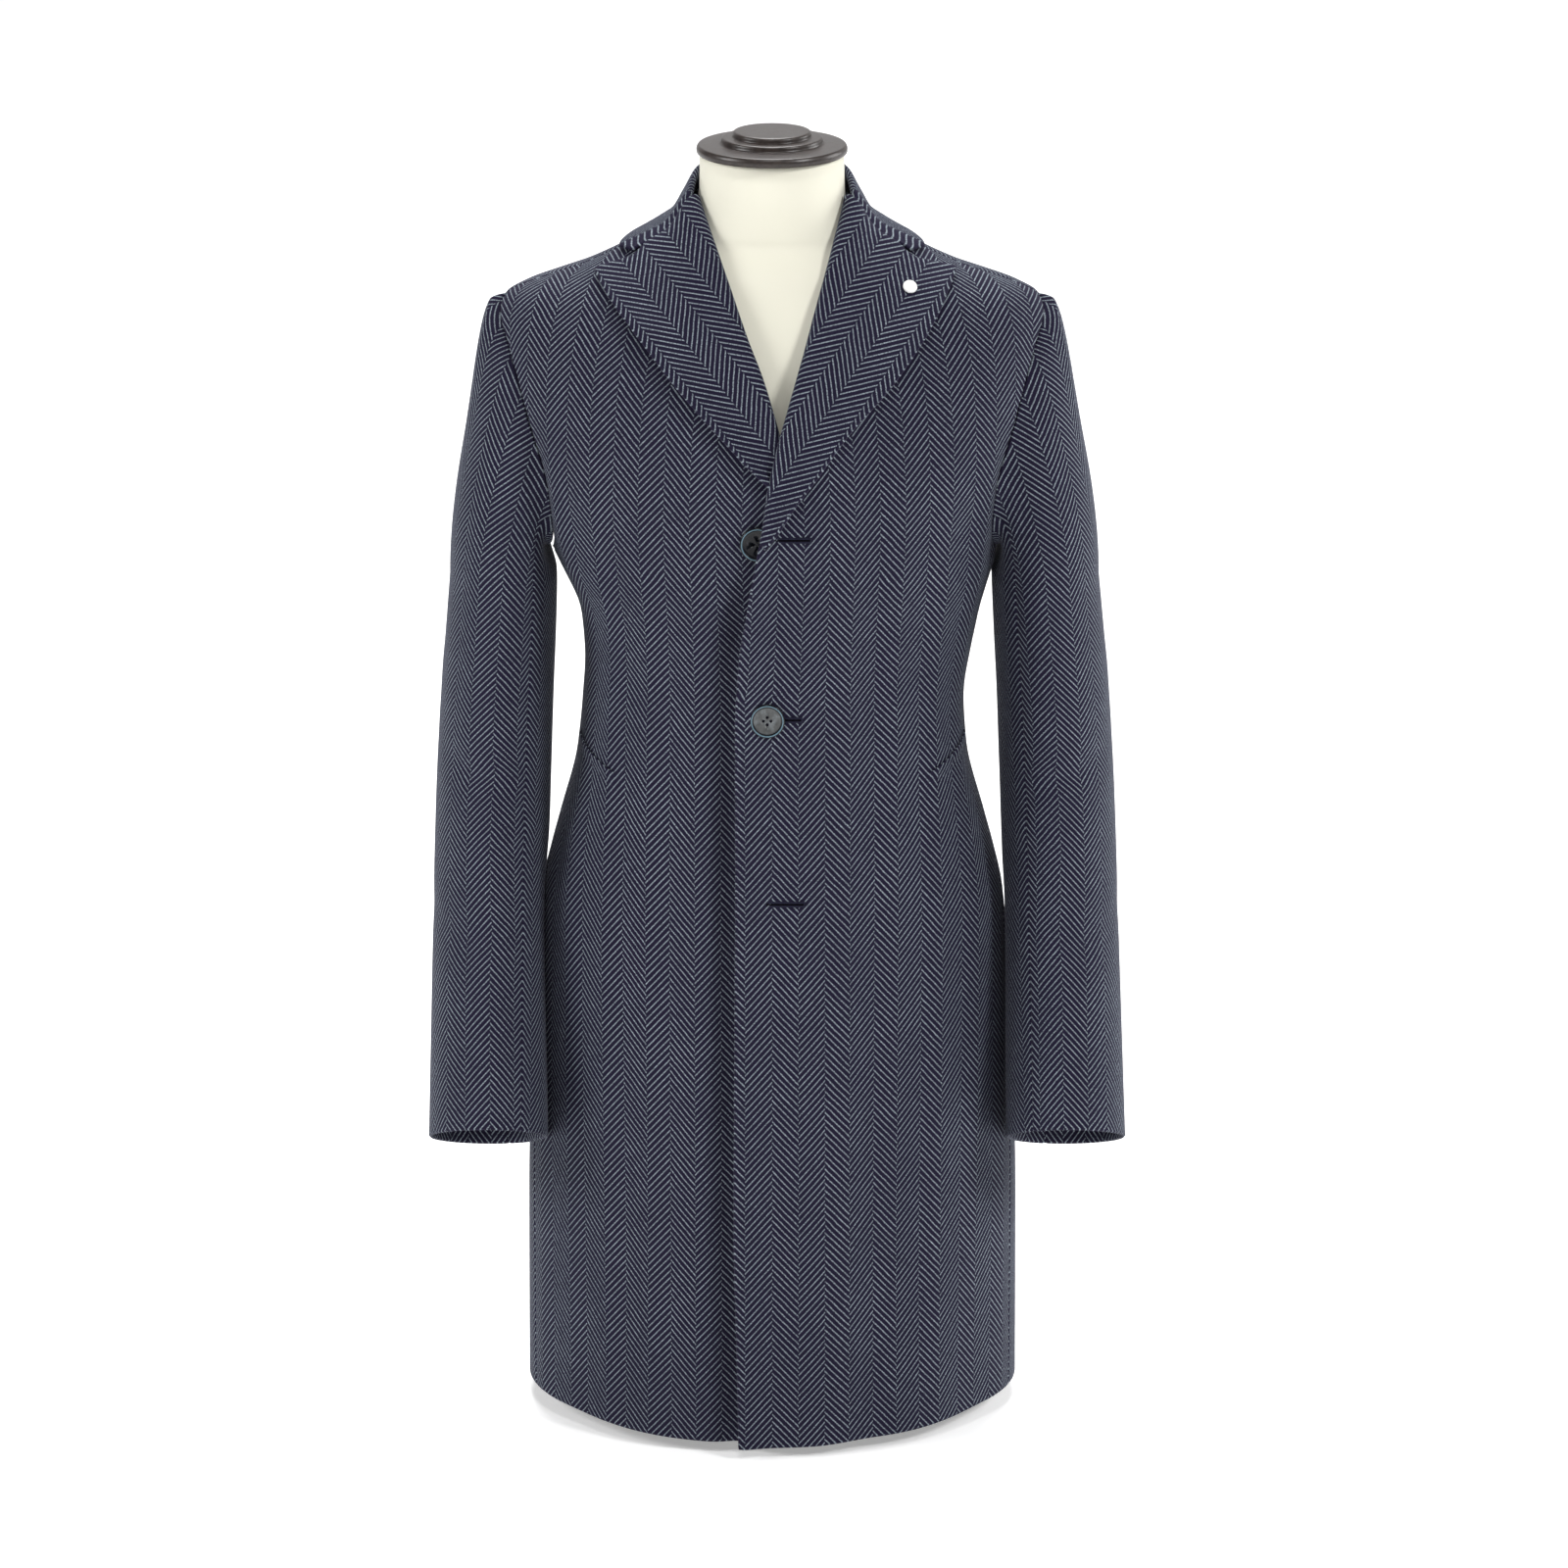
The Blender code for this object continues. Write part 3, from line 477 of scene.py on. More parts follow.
def show(name: str, points: Array, faces: Array, maps: dict[str, Array],
         finish: bpy.types.Material) -> bpy.types.Object:
    """Add a smooth mesh to the scene.

    Args:
        name: Piece name.
        points: Vertices.
        faces: Corners of each quad.
        maps: Flat places of each quad corner, by map name.
        finish: Material.

    Returns:
        The new object.
    """
    mesh = bpy.data.meshes.new(name)
    mesh.vertices.add(len(points))
    mesh.vertices.foreach_set("co", np.asarray(points, np.float32).ravel())
    mesh.loops.add(faces.size)
    mesh.loops.foreach_set("vertex_index", np.asarray(faces, np.int32).ravel())
    mesh.polygons.add(len(faces))
    mesh.polygons.foreach_set("loop_start", np.arange(0, faces.size, faces.shape[1], dtype=np.int32))
    mesh.update(calc_edges=True)
    for key, flat in maps.items():
        mesh.uv_layers.new(name=key).data.foreach_set("uv", np.asarray(flat, np.float32).ravel())
    mesh.validate()
    mesh.polygons.foreach_set("use_smooth", np.ones(len(mesh.polygons), bool))
    mesh.materials.append(finish)
    return in_scene(name, mesh)


@dataclass
class ClothShell:
    """Thin wall of cloth behind a grid of outer points, with a rounded rim."""

    name: str
    grid: Array
    grain: Array
    wall: float
    flip: bool = False
    rim: float = 0.48

    def build(self, finish: bpy.types.Material) -> bpy.types.Object:
        """Make the shell.

        Args:
            finish: Cloth.

        Returns:
            The new object.
        """
        grid = self.grid
        rows, cols = grid.shape[:2]
        normal = grid_normals(grid) * (-1.0 if self.flip else 1.0)
        inner = grid - normal * self.wall
        loop = [(0, j) for j in range(cols)] + [(i, cols - 1) for i in range(1, rows)]
        loop += [(rows - 1, j) for j in range(cols - 2, -1, -1)] + [(i, 0) for i in range(rows - 2, 0, -1)]
        ri, rj = np.array(loop).T
        out = np.zeros((len(loop), 3))
        for k, (i, j) in enumerate(loop):
            if i in (0, rows - 1):
                out[k] += unit(grid[i, j] - grid[1 if i == 0 else rows - 2, j])
            if j in (0, cols - 1):
                out[k] += unit(grid[i, j] - grid[i, 1 if j == 0 else cols - 2])
        edge = (grid[ri, rj] + inner[ri, rj]) / 2 + unit(out) * self.wall * self.rim
        back, mid, ring = rows * cols, 2 * rows * cols, len(loop)
        points = np.concatenate((grid.reshape(-1, 3), inner.reshape(-1, 3), edge))
        i, j = np.meshgrid(np.arange(rows - 1), np.arange(cols - 1), indexing="ij")
        a = (i * cols + j).ravel()
        quads = np.stack((a, a + 1, a + cols + 1, a + cols), axis=1)
        flat_id = ri * cols + rj
        k = np.arange(ring)
        n = (k + 1) % ring
        upper = np.stack((flat_id[n], flat_id[k], mid + k, mid + n), axis=1)
        lower = np.stack((mid + n, mid + k, back + flat_id[k], back + flat_id[n]), axis=1)
        faces = np.concatenate((quads, quads[:, ::-1] + back, upper, lower))
        flat = np.concatenate((self.grain.reshape(-1, 2), self.grain.reshape(-1, 2), self.grain[ri, rj]))
        bake = self.bake_map(rows, cols, len(quads), ring)
        if self.flip:
            faces, bake = faces[:, ::-1], bake[:, ::-1]
        return show(self.name, points, faces, {"grain": flat[faces], "OFBake": bake}, finish)

    def bake_map(self, rows: int, cols: int, count: int, ring: int) -> Array:
        """Lay every face out once on a unit square.

        Args:
            rows: Rows of the grid.
            cols: Columns of the grid.
            count: Quads on one side.
            ring: Quads round the rim.

        Returns:
            Flat place of each corner of each face.
        """
        i, j = np.meshgrid(np.arange(rows - 1), np.arange(cols - 1), indexing="ij")
        i, j = i.ravel(), j.ravel()
        corner = np.stack((np.stack((j, i), 1), np.stack((j + 1, i), 1), np.stack((j + 1, i + 1), 1),
                           np.stack((j, i + 1), 1)), axis=1) / np.array((cols - 1, rows - 1))
        front = corner * np.array((0.485, 0.92)) + np.array((0.005, 0.005))
        behind = corner[:, ::-1] * np.array((0.485, 0.92)) + np.array((0.510, 0.005))
        k = np.arange(ring)[:, None]
        strip = np.stack((np.concatenate((k + 1, k, k, k + 1), 1) / ring * 0.99 + 0.005,
                          np.broadcast_to(np.array((0.94, 0.94, 0.96, 0.96)), (ring, 4))), axis=2)
        return np.concatenate((front, behind, strip, strip + np.array((0.0, 0.025))))


def shade(colour: Colour, by: float) -> Colour:
    """Make a colour lighter or darker.

    Args:
        colour: Colour with its alpha.
        by: Factor.

    Returns:
        The new colour.
    """
    return tuple(c * by for c in colour[:3]) + (1.0,)


class Nodes:
    """Short way to wire up a material."""

    def __init__(self, name: str) -> None:
        """Start a material.

        Args:
            name: Material name.
        """
        self.material = bpy.data.materials.new(name)
        self.material.use_nodes = True
        self.tree = self.material.node_tree
        self.shader = self.tree.nodes["Principled BSDF"]

    def add(self, kind: str, **values: object) -> bpy.types.Node:
        """Add a node.

        Args:
            kind: Node type.
            values: Node settings.

        Returns:
            The node.
        """
        node = self.tree.nodes.new(kind)
        for key, value in values.items():
            setattr(node, key, value)
        return node

    def put(self, socket: bpy.types.NodeSocket, value: object) -> None:
        """Set a socket to a constant or join it to another.

        Args:
            socket: Input.
            value: Number, colour or output socket.
        """
        if isinstance(value, bpy.types.NodeSocket):
            self.tree.links.new(value, socket)
        else:
            socket.default_value = value

    def place(self) -> bpy.types.NodeSocket:
        """Place on the piece, in metres.

        Returns:
            The place.
        """
        return self.add("ShaderNodeTexCoord").outputs["Object"]

    def split(self, vector: bpy.types.NodeSocket) -> bpy.types.bpy_prop_collection:
        """Take a vector apart.

        Args:
            vector: Output socket.

        Returns:
            Its three parts.
        """
        node = self.add("ShaderNodeSeparateXYZ")
        self.put(node.inputs[0], vector)
        return node.outputs

    def math(self, operation: str, *values: object) -> bpy.types.NodeSocket:
        """Add arithmetic.

        Args:
            operation: Kind of arithmetic.
            values: Numbers or sockets.

        Returns:
            The result.
        """
        node = self.add("ShaderNodeMath", operation=operation)
        for socket, value in zip(node.inputs, values):
            self.put(socket, value)
        return node.outputs[0]

    def step(self, value: object, low: float, high: float) -> bpy.types.NodeSocket:
        """Soft step of a value.

        Args:
            value: Number socket.
            low: Value that gives 0.
            high: Value that gives 1.

        Returns:
            The result.
        """
        node = self.add("ShaderNodeMapRange", interpolation_type="SMOOTHSTEP")
        for socket, entry in zip(node.inputs, (value, low, high, 0.0, 1.0)):
            self.put(socket, entry)
        return node.outputs[0]

    def mix(self, share: object, a: object, b: object) -> bpy.types.NodeSocket:
        """Mix two colours.

        Args:
            share: Share of the second.
            a: First colour.
            b: Second colour.

        Returns:
            The mixed colour.
        """
        node = self.add("ShaderNodeMix", data_type="RGBA")
        self.put(node.inputs[0], share)
        self.put(node.inputs[6], a)
        self.put(node.inputs[7], b)
        return node.outputs[2]

    def noise(self, place: bpy.types.NodeSocket, scale: float, detail: float = 2.0) -> bpy.types.NodeSocket:
        """Add soft noise.

        Args:
            place: Where to read it.
            scale: Bumps to a metre.
            detail: Layers of finer noise.

        Returns:
            Values from 0 to 1.
        """
        node = self.add("ShaderNodeTexNoise")
        self.put(node.inputs["Vector"], place)
        node.inputs["Scale"].default_value = scale
        node.inputs["Detail"].default_value = detail
        return node.outputs["Fac"]

    def bump(self, height: bpy.types.NodeSocket, strength: float, distance: float) -> None:
        """Raise the surface by a height.

        Args:
            height: Height from 0 to 1.
            strength: Share of the effect.
            distance: Height of 1, in metres.
        """
        node = self.add("ShaderNodeBump")
        node.inputs["Strength"].default_value = strength
        node.inputs["Distance"].default_value = distance
        self.put(node.inputs["Height"], height)
        self.put(self.shader.inputs["Normal"], node.outputs[0])

    def finish(self, **values: object) -> bpy.types.Material:
        """Set the shader's inputs.

        Args:
            values: Input name, with underscores for spaces, and its value.

        Returns:
            The material.
        """
        for key, value in values.items():
            self.put(self.shader.inputs[key.replace("_", " ")], value)
        return self.material


@dataclass(frozen=True)
class Herringbone:
    """Brushed wool coating with light lines on a dark ground."""

    stripe: float = 0.0204
    pitch: float = 0.0058
    slope: float = 1.12
    dark: Colour = (0.0064, 0.0048, 0.0160, 1.0)
    haze: Colour = (0.0215, 0.0180, 0.0445, 1.0)
    light: Colour = (0.3700, 0.4350, 0.4850, 1.0)
    wobble: float = 0.0008
    fray: float = 0.0006
    line_edge: float = 0.38
    line_core: float = 0.03
    beading: float = 0.80

    def build(self) -> bpy.types.Material:
        """Make the material.

        Returns:
            The cloth.
        """
        n = Nodes("coat_cloth")
        grain = n.add("ShaderNodeUVMap", uv_map="grain").outputs[0]
        flat = n.split(grain)
        slow = n.math("SUBTRACT", n.noise(grain, 70.0), 0.5)
        quick = n.math("SUBTRACT", n.noise(grain, 900.0, 1.0), 0.5)
        shift = n.math("MULTIPLY_ADD", slow, self.wobble, n.math("MULTIPLY", quick, self.fray))
        u, v = n.math("ADD", flat[0], shift), n.math("ADD", flat[1], shift)
        zig = n.math("PINGPONG", u, self.stripe)
        band = n.math("FLOORED_MODULO", n.math("FLOOR", n.math("DIVIDE", u, self.stripe)), 2.0)
        run = n.math("DIVIDE", n.math("MULTIPLY_ADD", zig, self.slope, v), self.pitch)
        part = n.math("FRACT", n.math("MULTIPLY_ADD", band, 0.5, run))
        ridge = n.math("MULTIPLY", n.math("ABSOLUTE", n.math("SUBTRACT", part, 0.5)), 2.0)
        line = n.step(ridge, self.line_edge, self.line_core)
        beads = n.step(n.noise(grain, 1100.0, 2.0), 0.30, 0.68)
        fibre = n.noise(grain, 1900.0, 3.0)
        clouds = n.math("ADD", n.noise(grain, 14.0, 3.0), n.noise(grain, 150.0))
        strength = n.math("MULTIPLY", line, n.math("MULTIPLY_ADD", beads, self.beading, 1.0 - self.beading))
        ground = n.mix(n.step(fibre, 0.42, 0.70), self.dark, self.haze)
        yarn = n.mix(n.step(n.math("MULTIPLY", clouds, 0.5), 0.38, 0.62), self.light, shade(self.light, 0.78))
        colour = n.mix(strength, ground, yarn)
        n.bump(n.math("MULTIPLY_ADD", strength, 0.6, n.math("MULTIPLY", fibre, 0.5)), 0.35, 0.0006)
        return n.finish(Base_Color=colour, Roughness=0.90, Sheen_Weight=0.07, Sheen_Roughness=0.38,
                        Sheen_Tint=(0.66, 0.66, 0.80, 1.0), Specular_IOR_Level=0.12)


class Held(Enum):
    """How a cut of cloth is held."""

    HUNG = "hung"
    FOLDED = "folded"
    LAID = "laid"


def dress(obj: bpy.types.Object, node: str) -> bpy.types.Object:
    """Let a piece stand for its CAD node.

    Args:
        obj: Piece.
        node: CAD node it replaces.

    Returns:
        The piece.
    """
    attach(obj, "root")
    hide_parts(node)
    LOG.info("%s: %d faces", obj.name, len(obj.data.polygons))
    return obj


def hang(shell: ClothShell, cloth: bpy.types.Material, node: str) -> bpy.types.Object:
    """Make a cut of cloth that carries its flat cut as a map, and let it stand for its CAD node.

    Args:
        shell: Shell to make.
        cloth: Finish.
        node: CAD node it replaces.

    Returns:
        The piece.
    """
    obj = dress(shell.build(cloth), node)
    return obj


def stretched(values: Array, places: Array, count: int) -> Array:
    """Spread rows of values over every place from 0 upward, straight from row to row.

    Args:
        values: Values by row.
        places: Rising place of each row.
        count: Number of places to fill.

    Returns:
        Values by place.
    """
    flat = values.reshape(len(values), -1)
    out = np.stack([np.interp(np.arange(count), places, column) for column in flat.T], axis=1)
    return out.reshape((count,) + values.shape[1:])


def relaxed(grid: Array, flat: Array, rounds: int = 260, pace: float = 1.2) -> Array:
    """Let a flat cut settle until its threads are as long as on the grid, coarse first, its last row held.

    Args:
        grid: Points by row and column.
        flat: First guess of the flat places.
        rounds: Rounds of settling.
        pace: How far each round goes, as a share of the mean pull.

    Returns:
        The settled flat places.
    """
    flat = flat.copy()
    rows, cols = grid.shape[:2]
    if rows > 10:
        i, j = (np.unique(np.linspace(0, n - 1, n // 2 + 1).round().astype(int)) for n in (rows, cols))
        held = flat[-1].copy()
        coarse = np.ix_(i, j)
        change = relaxed(grid[coarse], flat[coarse], rounds, pace) - flat[coarse]
        wide = np.swapaxes(stretched(np.swapaxes(change, 0, 1), j, cols), 0, 1)
        flat += stretched(wide, i, rows)
        flat[-1] = held
    ties = []
    for di, dj in ((0, 1), (1, 0), (1, 1), (1, -1), (0, 3), (3, 0), (2, 2), (2, -2)):
        a = (slice(0, rows - di), slice(max(0, -dj), cols - max(0, dj)))
        b = (slice(di, rows), slice(max(0, dj), cols - max(0, -dj)))
        ties.append((a, b, np.linalg.norm(grid[b] - grid[a], axis=-1)))
    for _ in range(rounds):
        move, count = np.zeros_like(flat), np.zeros((rows, cols, 1))
        for a, b, length in ties:
            d = flat[b] - flat[a]
            now = np.maximum(np.linalg.norm(d, axis=-1), 1e-9)
            pull = d * ((now - length) / now)[..., None] / 2
            move[a] += pull
            move[b] -= pull
            count[a] += 1
            count[b] += 1
        move[-1] = 0.0
        flat += move / count * pace
    return flat


@dataclass
class BodyPanels:
    """Fronts and back, cut from the body's form by its seams."""

    shape: CoatShape
    cloth: bpy.types.Material
    rows: int = 190
    front_columns: int = 84
    back_columns: int = 150
    seam: float = 0.0013
    front_edge: float = 0.010
    back_edge: float = 0.005
    roll_back: float = 0.0050
    break_z: float = 0.765
    edge_flare: float = 0.0065
    flare_reach: float = 0.0160
    dip: float = 0.0062
    dip_reach: float = 0.0130
    dip_top: float = 0.735
    dip_in: float = 0.004
    roll_fade: float = 0.03
    flare_fade: float = 0.05
    dip_fade: float = 0.06
    settle_z: float = 0.620

    def heights(self) -> Array:
        """Heights of the sections, closer together over the shoulders.

        Returns:
            Rising heights.
        """
        z = self.shape
        low = np.linspace(z.hem_z + self.seam, z.armpit_z, self.rows // 2)
        arm = np.linspace(z.armpit_z, z.tip_z, self.rows // 4 + 1)[1:]
        top = np.linspace(z.tip_z, z.neck_z, self.rows // 4 + 1)[1:]
        return np.concatenate(([z.hem_z], low, arm, top))

    def seam_angle(self, angle: Array, z: Array) -> Array:
        """Angle that a seam allowance takes.

        Args:
            angle: Angles of the seam.
            z: Heights.

        Returns:
            Angles.
        """
        reach = np.linalg.norm(self.shape.point(angle + 0.5, z) - self.shape.point(angle - 0.5, z), axis=-1)
        return self.seam / np.maximum(reach, 1e-6)

    def settled(self, grid: Array, grain: Array, way: float = 1.0) -> Array:
        """Flat cut that is settled above the waist, where the shoulders can't be unrolled row by row.

        Args:
            grid: Points by row and column.
            grain: Flat places, true below the waist.
            way: 1 for a front and -1 for the back, whose cut runs the other way across.

        Returns:
            The flat places.
        """
        start = int(np.searchsorted(self.heights(), self.settle_z))
        guess = grain[start] + (grid[start:] - grid[start])[..., (0, 2)] * np.array((way, 1.0))
        flat = grain.copy()
        flat[start:] = relaxed(grid[start:][::-1], guess[::-1])[::-1]
        return flat

    def front(self, side: Side) -> bpy.types.Object:
        """Front from its free edge and roll line to the side seam, armhole and shoulder seam.

        Args:
            side: Side of the coat.

        Returns:
            The piece.
        """
        s, z = self.shape, self.heights()[:, None]
        past = read(s.edges, z, 1 if side is Side.LEFT else 2)
        past = past + side.sign * self.roll_back * ease((z - self.break_z) / self.roll_fade)
        start = s.angle_at(past, z)
        end = s.limit(z, 1)
        end = side.sign * (end - self.seam_angle(end, z))
        angle = start + (end - start) * uneven_steps(self.front_columns, self.front_edge)[None, :]
        zz = np.broadcast_to(z, angle.shape)
        p, n = s.point(angle, zz), s.normal(angle, zz)
        off = s.crease(angle, zz)
        if side is Side.LEFT:
            below = ease((self.break_z - zz) / self.flare_fade)
            flare = self.edge_flare * bell(p[..., 0] - past, self.flare_reach) * below
            off = off + s.lift(p[..., 0], p[..., 2]) + flare
        else:
            over = read(s.edges, zz, 1) - self.dip_in
            below = ease((self.dip_top - zz) / self.dip_fade)
            off = off - self.dip * bell(p[..., 0] - over, self.dip_reach) * below
        grid = p + n * off[..., None]
        name, grain = "front_" + side.value, self.settled(grid, s.grain(angle, zz))
        shell = ClothShell(name + "_cloth", grid, grain, s.wall, side is Side.RIGHT)
        return hang(shell, self.cloth, name)

    def back(self) -> bpy.types.Object:
        """Back in one piece from side seam to side seam.

        Returns:
            The piece.
        """
        s, z = self.shape, self.heights()[:, None]
        start = s.limit(z, 2)
        start = start + self.seam_angle(start, z)
        angle = start + (360.0 - 2 * start) * uneven_steps(self.back_columns, self.back_edge)[None, :]
        zz = np.broadcast_to(z, angle.shape)
        grid = s.point(angle, zz) + s.normal(angle, zz) * s.crease(angle, zz)[..., None]
        grain = self.settled(grid, unrolled(grid, self.back_columns // 2), -1.0)
        shell = ClothShell("back_cloth", grid, grain, s.wall)
        return hang(shell, self.cloth, "back")


@dataclass
class Sleeves:
    """Two-piece sleeves that hang from the armholes with a forward bend."""

    shape: CoatShape
    cloth: bpy.types.Material
    wall: float = 0.0026
    seam: float = 0.0013
    sewn: float = 0.0008
    head_out: float = 0.012
    head_drop: float = 0.40
    head_rows: int = 44
    tube_rows: int = 110
    top_columns: int = 96
    under_columns: int = 50
    forearm_turn: float = -36.0
    hindarm_turn: float = -162.0
    clear: float = 0.0016
    clear_soft: float = 0.0030
    head_bulge: float = 0.0085
    head_share: float = 0.40
    # shares of the head's length where its bulge is full, starts to fall and how long it falls
    bulge_span: tuple[float, float, float] = (0.10, 0.15, 0.50)
    # how far the head stands out at the seam: at the sides, less on top, and towards the armhole's middle
    rope: tuple[float, float, float] = (0.75, 0.50, 0.65)
    arm_radius: float = 0.060
    seam_radius: float = 0.065
    # height, distance out, depth, half width, half depth, forward tilt in degrees,
    # how much nearer the right one hangs
    rings: Table = (
        (0.690, 0.2163, 0.0030, 0.0428, 0.0750, 0.0, 0.0036),
        (0.640, 0.2200, 0.0030, 0.0440, 0.0745, 1.5, 0.0043),
        (0.592, 0.2235, 0.0020, 0.0449, 0.0740, 3.5, 0.0047),
        (0.550, 0.2257, -0.0005, 0.0455, 0.0730, 6.5, 0.0048),
        (0.510, 0.2275, -0.0050, 0.0458, 0.0720, 10.0, 0.0050),
        (0.465, 0.2290, -0.0130, 0.0460, 0.0712, 13.5, 0.0052),
        (0.420, 0.2302, -0.0230, 0.0462, 0.0703, 16.0, 0.0056),
        (0.360, 0.2318, -0.0385, 0.0466, 0.0690, 19.0, 0.0062),
        (0.300, 0.2332, -0.0560, 0.0472, 0.0675, 21.5, 0.0070),
        (0.243, 0.2345, -0.0735, 0.0478, 0.0662, 23.5, 0.0078),
    )
    # height, turn, half length, half width, slant in degrees, depth
    creases: Table = (
        (0.530, 10.0, 0.045, 0.011, 20.0, -0.0030), (0.480, -25.0, 0.040, 0.010, -15.0, 0.0020),
        (0.590, 150.0, 0.050, 0.014, -25.0, 0.0022), (0.400, 40.0, 0.050, 0.013, 25.0, -0.0018),
    )

    def loop(self, turn: Array) -> tuple[Array, Array]:
        """Armhole seam as angle and height.

        Args:
            turn: Turns round the sleeve, 90 on top and -90 under the arm.

        Returns:
            Angles and heights on the body.
        """
        rows = np.asarray(self.shape.armhole)
        index = (90.0 - turn) / 180.0 * (len(rows) - 1) % (2 * len(rows) - 2)
        places = np.arange(2 * len(rows) - 1)
        angle = np.concatenate((rows[::-1, 1], rows[1:, 2]))
        z = np.concatenate((rows[::-1, 0], rows[1:, 0]))
        return smooth_through(places, angle, index), smooth_through(places, z, index)

    def tube(self, z: Array, turn: Array, side: Side) -> Array:
        """Points of a sleeve below the armpit, as on the left.

        Args:
            z: Heights of the rings' middles.
            turn: Turns, 0 in front and 90 outside.
            side: Side of the coat.

        Returns:
            Points.
        """
        rows = np.asarray(self.rings)[::-1]
        x, y, half_w, half_d, tilt, near = (smooth_through(rows[:, 0], rows[:, k], z) for k in range(1, 7))
        x = x - near if side is Side.RIGHT else x
        t, a = np.radians(tilt), np.radians(turn)
        out = self.crease(z, turn)
        fore = half_d * np.cos(a)
        spoke = np.stack((half_w * np.sin(a), -fore * np.cos(t), fore * np.sin(t)), axis=-1)
        p = np.stack((x, y, z), axis=-1) + spoke + unit(spoke) * out[..., None]
        return self.off_body(p)

    def off_body(self, p: Array) -> Array:
        """Keep sleeve points softly off the body cloth.

        Args:
            p: Points, as on the left.

        Returns:
            The points, moved out where they would touch.
        """
        w, f, b, n = (read(self.shape.rings, p[..., 2], k) for k in range(1, 5))
        share = 1.0 - (abs(p[..., 1]) / np.where(p[..., 1] < 0, f, b)) ** n
        low = np.where(share > 0, w * np.maximum(share, 1e-9) ** (1 / n) + self.clear, 0.0)
        rest = p[..., 0] - low
        out = p.copy()
        out[..., 0] = low + (rest + np.hypot(rest, self.clear_soft)) / 2
        return out

    def crease(self, z: Array, turn: Array) -> Array:
        """Outward shift of the listed creases.

        Args:
            z: Heights.
            turn: Turns.

        Returns:
            Distances outward.
        """
        out = np.zeros(np.broadcast(z, turn).shape)
        for mid_z, mid_turn, half_long, half_wide, slant, depth in self.creases:
            over = np.radians(turn_off(turn, mid_turn)) * self.arm_radius
            up = z - mid_z
            c, s = math.cos(math.radians(slant)), math.sin(math.radians(slant))
            along, off = over * c + up * s, up * c - over * s
            out += depth * np.exp(-(along / half_long) ** 2 - (off / half_wide) ** 2)
        return out

    def whole(self, turn: Array, side: Side) -> tuple[Array, Array]:
        """Whole sleeve for a row of turns, as on the left.

        Args:
            turn: Turns, one for each column.
            side: Side of the coat.

        Returns:
            Points and their places on the flat cut.
        """
        s = self.shape
        angle, z = self.loop(turn)
        n = s.normal(angle, z)
        p0 = s.point(angle, z) + n * s.crease(angle, z)[..., None]
        ring_angle, ring_z = self.loop(np.linspace(90.0, -270.0, 73)[:-1])
        towards = s.point(ring_angle, ring_z).mean(axis=0) - p0
        towards = unit(towards - n * (towards * n).sum(axis=-1, keepdims=True))
        p0 = p0 + towards * self.seam
        top = np.full(turn.shape, self.rings[0][0])
        p3 = self.tube(top, turn, side)
        gap = np.linalg.norm(p3 - p0, axis=-1, keepdims=True)
        side_rope, less, inward = self.rope
        above = np.maximum(np.sin(np.radians(turn)), 0.0) ** 2
        out = n * (side_rope - less * above)[:, None] + towards * inward
        p1 = p0 + out * np.minimum(self.head_out, gap * self.head_share)
        p2 = p3 + np.array((0.0, 0.0, 1.0)) * gap * self.head_drop
        t = np.linspace(0.0, 1.0, self.head_rows + 1)[:, None, None]
        head = p0 * (1 - t) ** 3 + p1 * 3 * t * (1 - t) ** 2 + p2 * 3 * t * t * (1 - t) + p3 * t ** 3
        rise, fall, fade = self.bulge_span
        bulge = self.head_bulge * ease(t[..., 0] / rise) * (1 - ease((t[..., 0] - fall) / fade))
        head[..., 0] += bulge * above
        low = np.linspace(self.rings[0][0], self.rings[-1][0], self.tube_rows + 1)[1:]
        zz, tt = np.meshgrid(low, turn, indexing="ij")
        grid = np.concatenate((head, self.tube(zz, tt, side)))
        return grid, self.flat(grid, turn)

    def flat(self, grid: Array, turn: Array) -> Array:
        """Places on the flat cut, from the middle line and the top of the tube.

        Args:
            grid: Points.
            turn: Turns of the columns.

        Returns:
            Distance across and along the grain in the last axis.
        """
        middle, start = len(turn) // 2, self.head_rows
        step = np.linalg.norm(np.diff(grid, axis=1), axis=-1)
        across = np.concatenate((np.zeros((len(grid), 1)), np.cumsum(step, axis=1)), axis=1)
        u = across - across[:, middle:middle + 1]
        u[:start] = u[start]
        down = np.linalg.norm(np.diff(grid, axis=0), axis=-1)
        low = np.cumsum(down[start:].mean(axis=1))
        high = np.cumsum(down[:start][::-1], axis=0)[::-1]
        v = np.concatenate((high, np.zeros((1, len(turn))), np.repeat(-low[:, None], len(turn), axis=1)))
        flat = np.stack((u, v), axis=-1)
        flat[:start + 1] = relaxed(grid[:start + 1], flat[:start + 1])
        return flat

    def build(self) -> None:
        """Make the top and under sleeve of both sides."""
        reach = math.degrees(self.sewn / self.seam_radius)
        fore, hind = self.forearm_turn, self.hindarm_turn
        cuts = {
            "top_sleeve": np.linspace(hind + 360.0 - reach, fore + reach, self.top_columns),
            "under_sleeve": np.linspace(fore - reach, hind + reach, self.under_columns),
        }
        for name, turn in cuts.items():
            for side in Side:
                grid, grain = self.whole(turn, side)
                node = name + "_" + side.value
                placed = grid * np.array((side.sign, 1.0, 1.0))
                shell = ClothShell(node + "_cloth", placed, grain, self.wall, side is Side.RIGHT)
                hang(shell, self.cloth, node)


